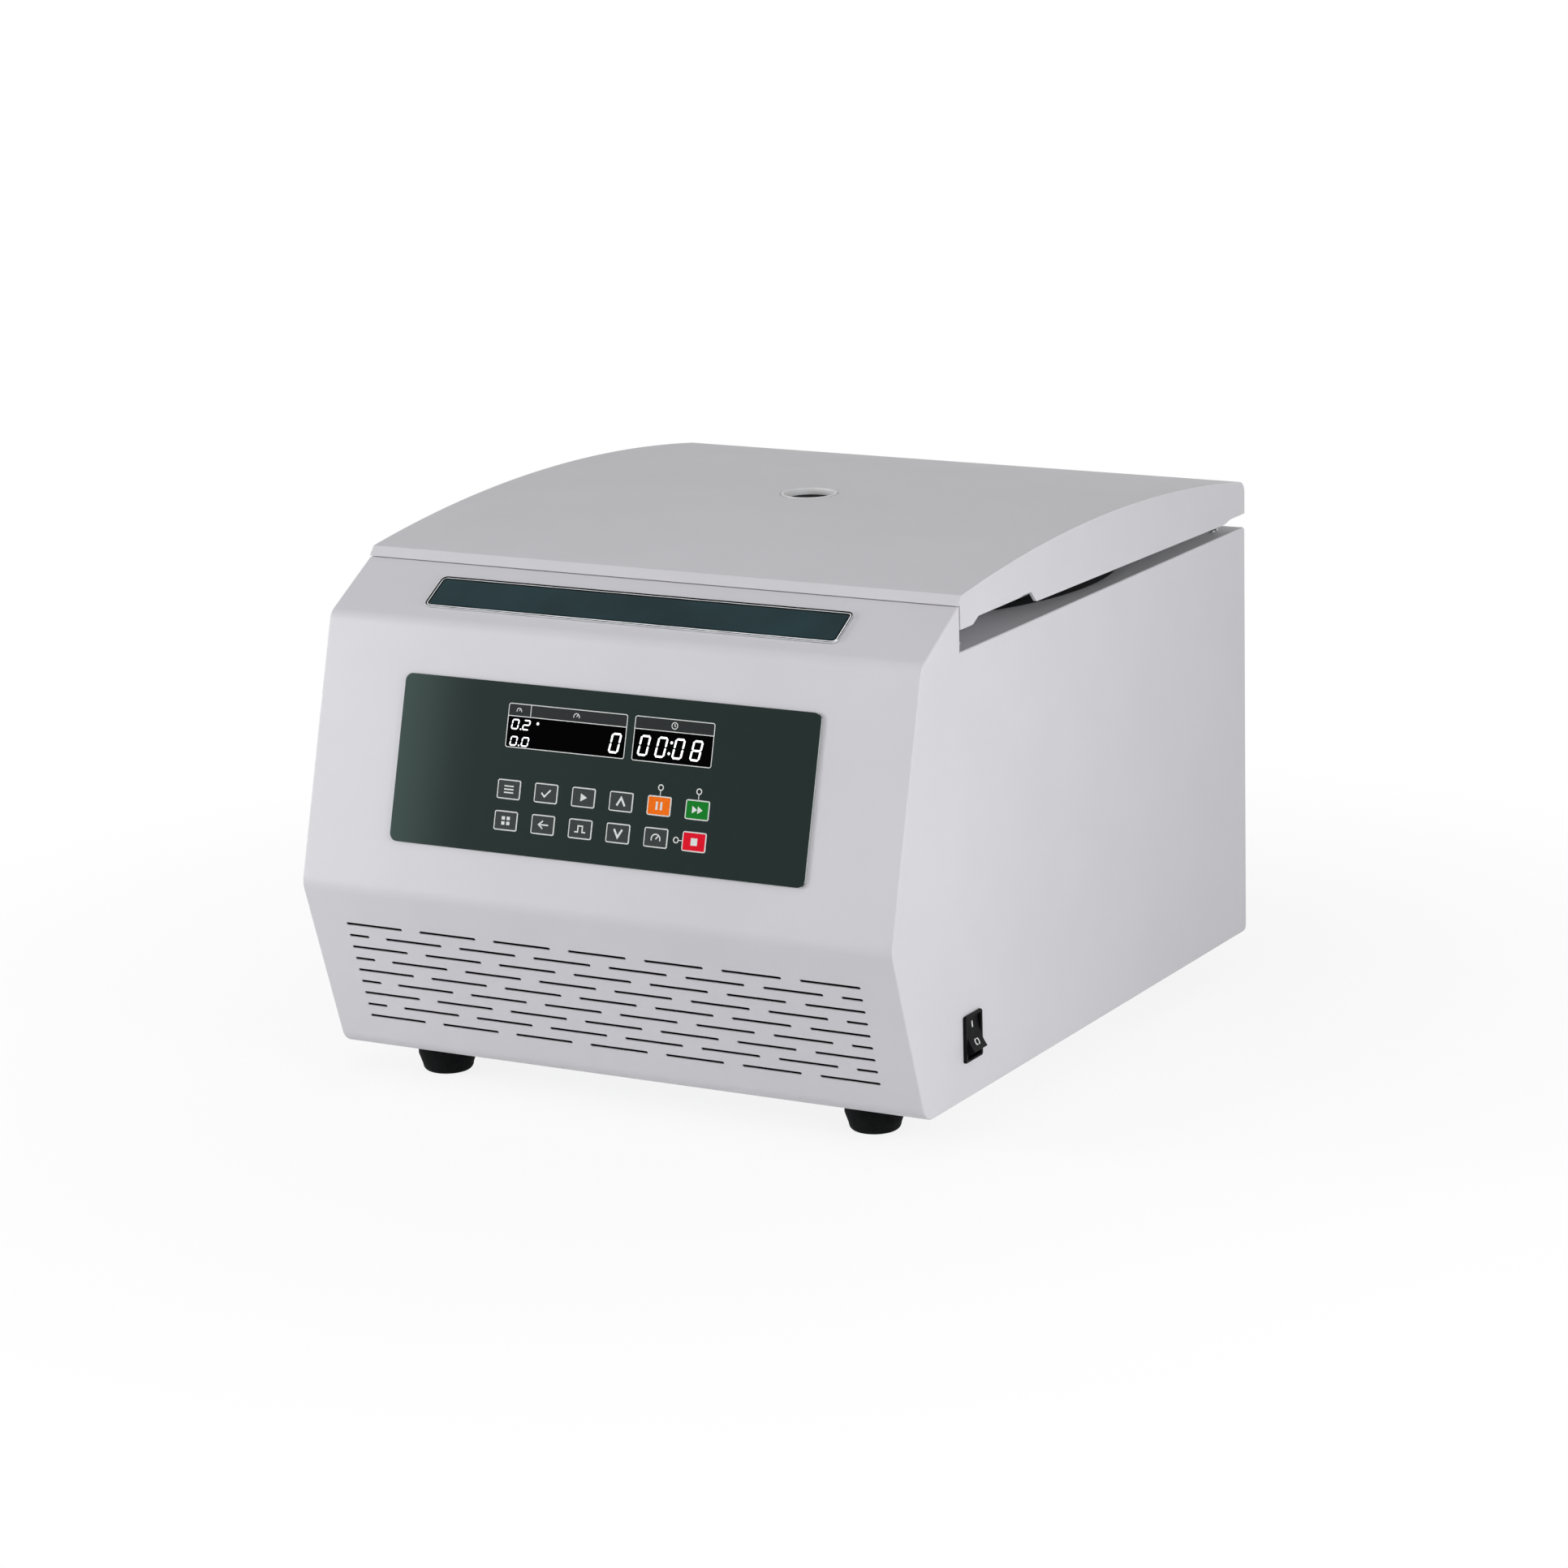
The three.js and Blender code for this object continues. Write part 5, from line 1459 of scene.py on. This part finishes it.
def make_buckets():
    low = -BUCKET_DROP
    wall = quarter(15, low + 12, 10, 11, 6)
    hollow = quarter(13, low + 15, 10, 11, 6)[::-1]
    bucket = turn("cup", [
        (0, low), (13.5, low), (15, low + 0.5), *wall, (25, 11), (24.6, 12.6), (25, 13),
        (25, 13.6), (24.6, 14), (23.4, 14), (23, 13.6), *hollow, (0, low + 3),
    ], 72)
    trunnion = turn("trunnion", [
        (0, -34), (3.4, -34), (4, -33.4), (4, 33.4), (3.4, 34), (0, 34),
    ], 32)
    settle(trunnion, about("X", math.pi / 2))
    carve(trunnion, rod("inside", 24, -20, 20, sides=72))
    weld(bucket, trunnion)
    wear(bucket, ROTOR_METAL)
    rows = []
    for k in range(4):
        place = about("Z", math.pi / 2 * k) @ at(PIVOT_RADIUS, 0)
        rows.append((f"cup_{k + 1}", place, f"bucket_{k + 1}", f"bucket_{k + 1}"))
    repeated(bucket, rows, SPINDLE, "aluminium")


make_shaft()
make_nut()
make_yoke()
make_buckets()


# Electrics

BOARD_THICKNESS = 1.6


def dressed(pieces, material):
    for piece in pieces:
        wear(piece, material)
    return pieces


def board_posts(half_widths, depths, low, high):
    posts = [rod("post", 3, low, high, x, y, 24) for x in half_widths for y in depths]
    return dressed(posts, ALUMINIUM)


def make_control_board():
    """Drawn in the panel's frame: the board, its posts and the parts on it."""
    low = -10.9
    face = low + BOARD_THICKNESS
    board = block("board", (-115, 8.3, low), (115, 92.3, face))
    wear(board, CIRCUIT)
    parts = board_posts((-109, 109), (14.3, 86.3), low + 0.2, -2.3)
    chips = []
    for x, y, width, height, depth in (
        (-70, 40, 12, 30, 2.4), (-70, 70, 18, 8, 5), (-96, 30, 8, 8, 4), (85, 60, 22, 16, 3),
        (85, 30, 10, 22, 5), (-20, 30, 14, 14, 2.2), (20, 46, 30, 5, 4), (-96, 66, 6, 10, 6),
    ):
        w, h = width / 2, height / 2
        chip = block("chip", (x - w, y - h, face), (x + w, y + h, face + depth))
        chips.append(round_edges(chip, 0.3, 2, above(face + 0.1)))
    parts += dressed(chips, PLASTIC)
    finished(joined(*parts, board), PANEL, "case", "circuit", "control_board")


def make_power_board():
    """The board on its posts, with a wound transformer, capacitors and a heat sink."""
    board = block("supply", (-45, -60, 9), (45, 60, 9 + BOARD_THICKNESS))
    wear(board, CIRCUIT)
    parts = board_posts((-39, 39), (-54, 54), 0, 9.1)
    core = [block("core", (x - 2, -45, 10), (x + 2, 5, 37)) for x in (-18, 18)]
    core += [block("core", (-20, y - 2, 10), (20, y + 2, 37)) for y in (-43, 3)]
    parts += dressed(core, DARK_METAL)
    coil = block("coil", (-14, -38, 12), (14, -2, 35))
    round_edges(coil, 5, 5, lambda a, b: abs(a.x - b.x) < 0.1 and abs(a.y - b.y) < 0.1)
    parts += dressed([coil], COPPER)
    for x, y, radius, top in (
        (-24, 28, 8, 36.2), (-4, 28, 8, 36.2), (18, 22, 5, 26.2), (18, 38, 5, 26.2),
    ):
        can = turn("capacitor", [
            (0, 10.4), (radius - 0.5, 10.4), (radius, 11), (radius, 12.4), (radius - 0.6, 13),
            (radius, 13.6), (radius, top - 0.7), (radius - 0.7, top), (0, top),
        ], 40)
        parts += dressed([settle(can, at(x, y))], PLASTIC)
    fins = [block("fin", (30, 10 + 8 * k, 10), (42, 11.5 + 8 * k, 34)) for k in range(5)]
    parts += dressed(fins, ALUMINIUM)
    place = INTO_FRAME @ at(-145, 395, 2.3)
    finished(joined(*parts, board), place, "case", "circuit", "power_board")


def make_inlet():
    inlet = soften(cad_copy("inlet", "mains_inlet"), 0.3, 2)
    wear(inlet, PLASTIC, ZINC)
    middle, reach = (140, 482.5, 62), (10, 7, 6)
    paint_faces(inlet, 1, lambda c, n: all(abs(c[i] - middle[i]) < reach[i] for i in range(3)))
    finished(inlet, INTO_FRAME, "case", "black_plastic", "mains_inlet")


make_control_board()
make_power_board()
make_inlet()
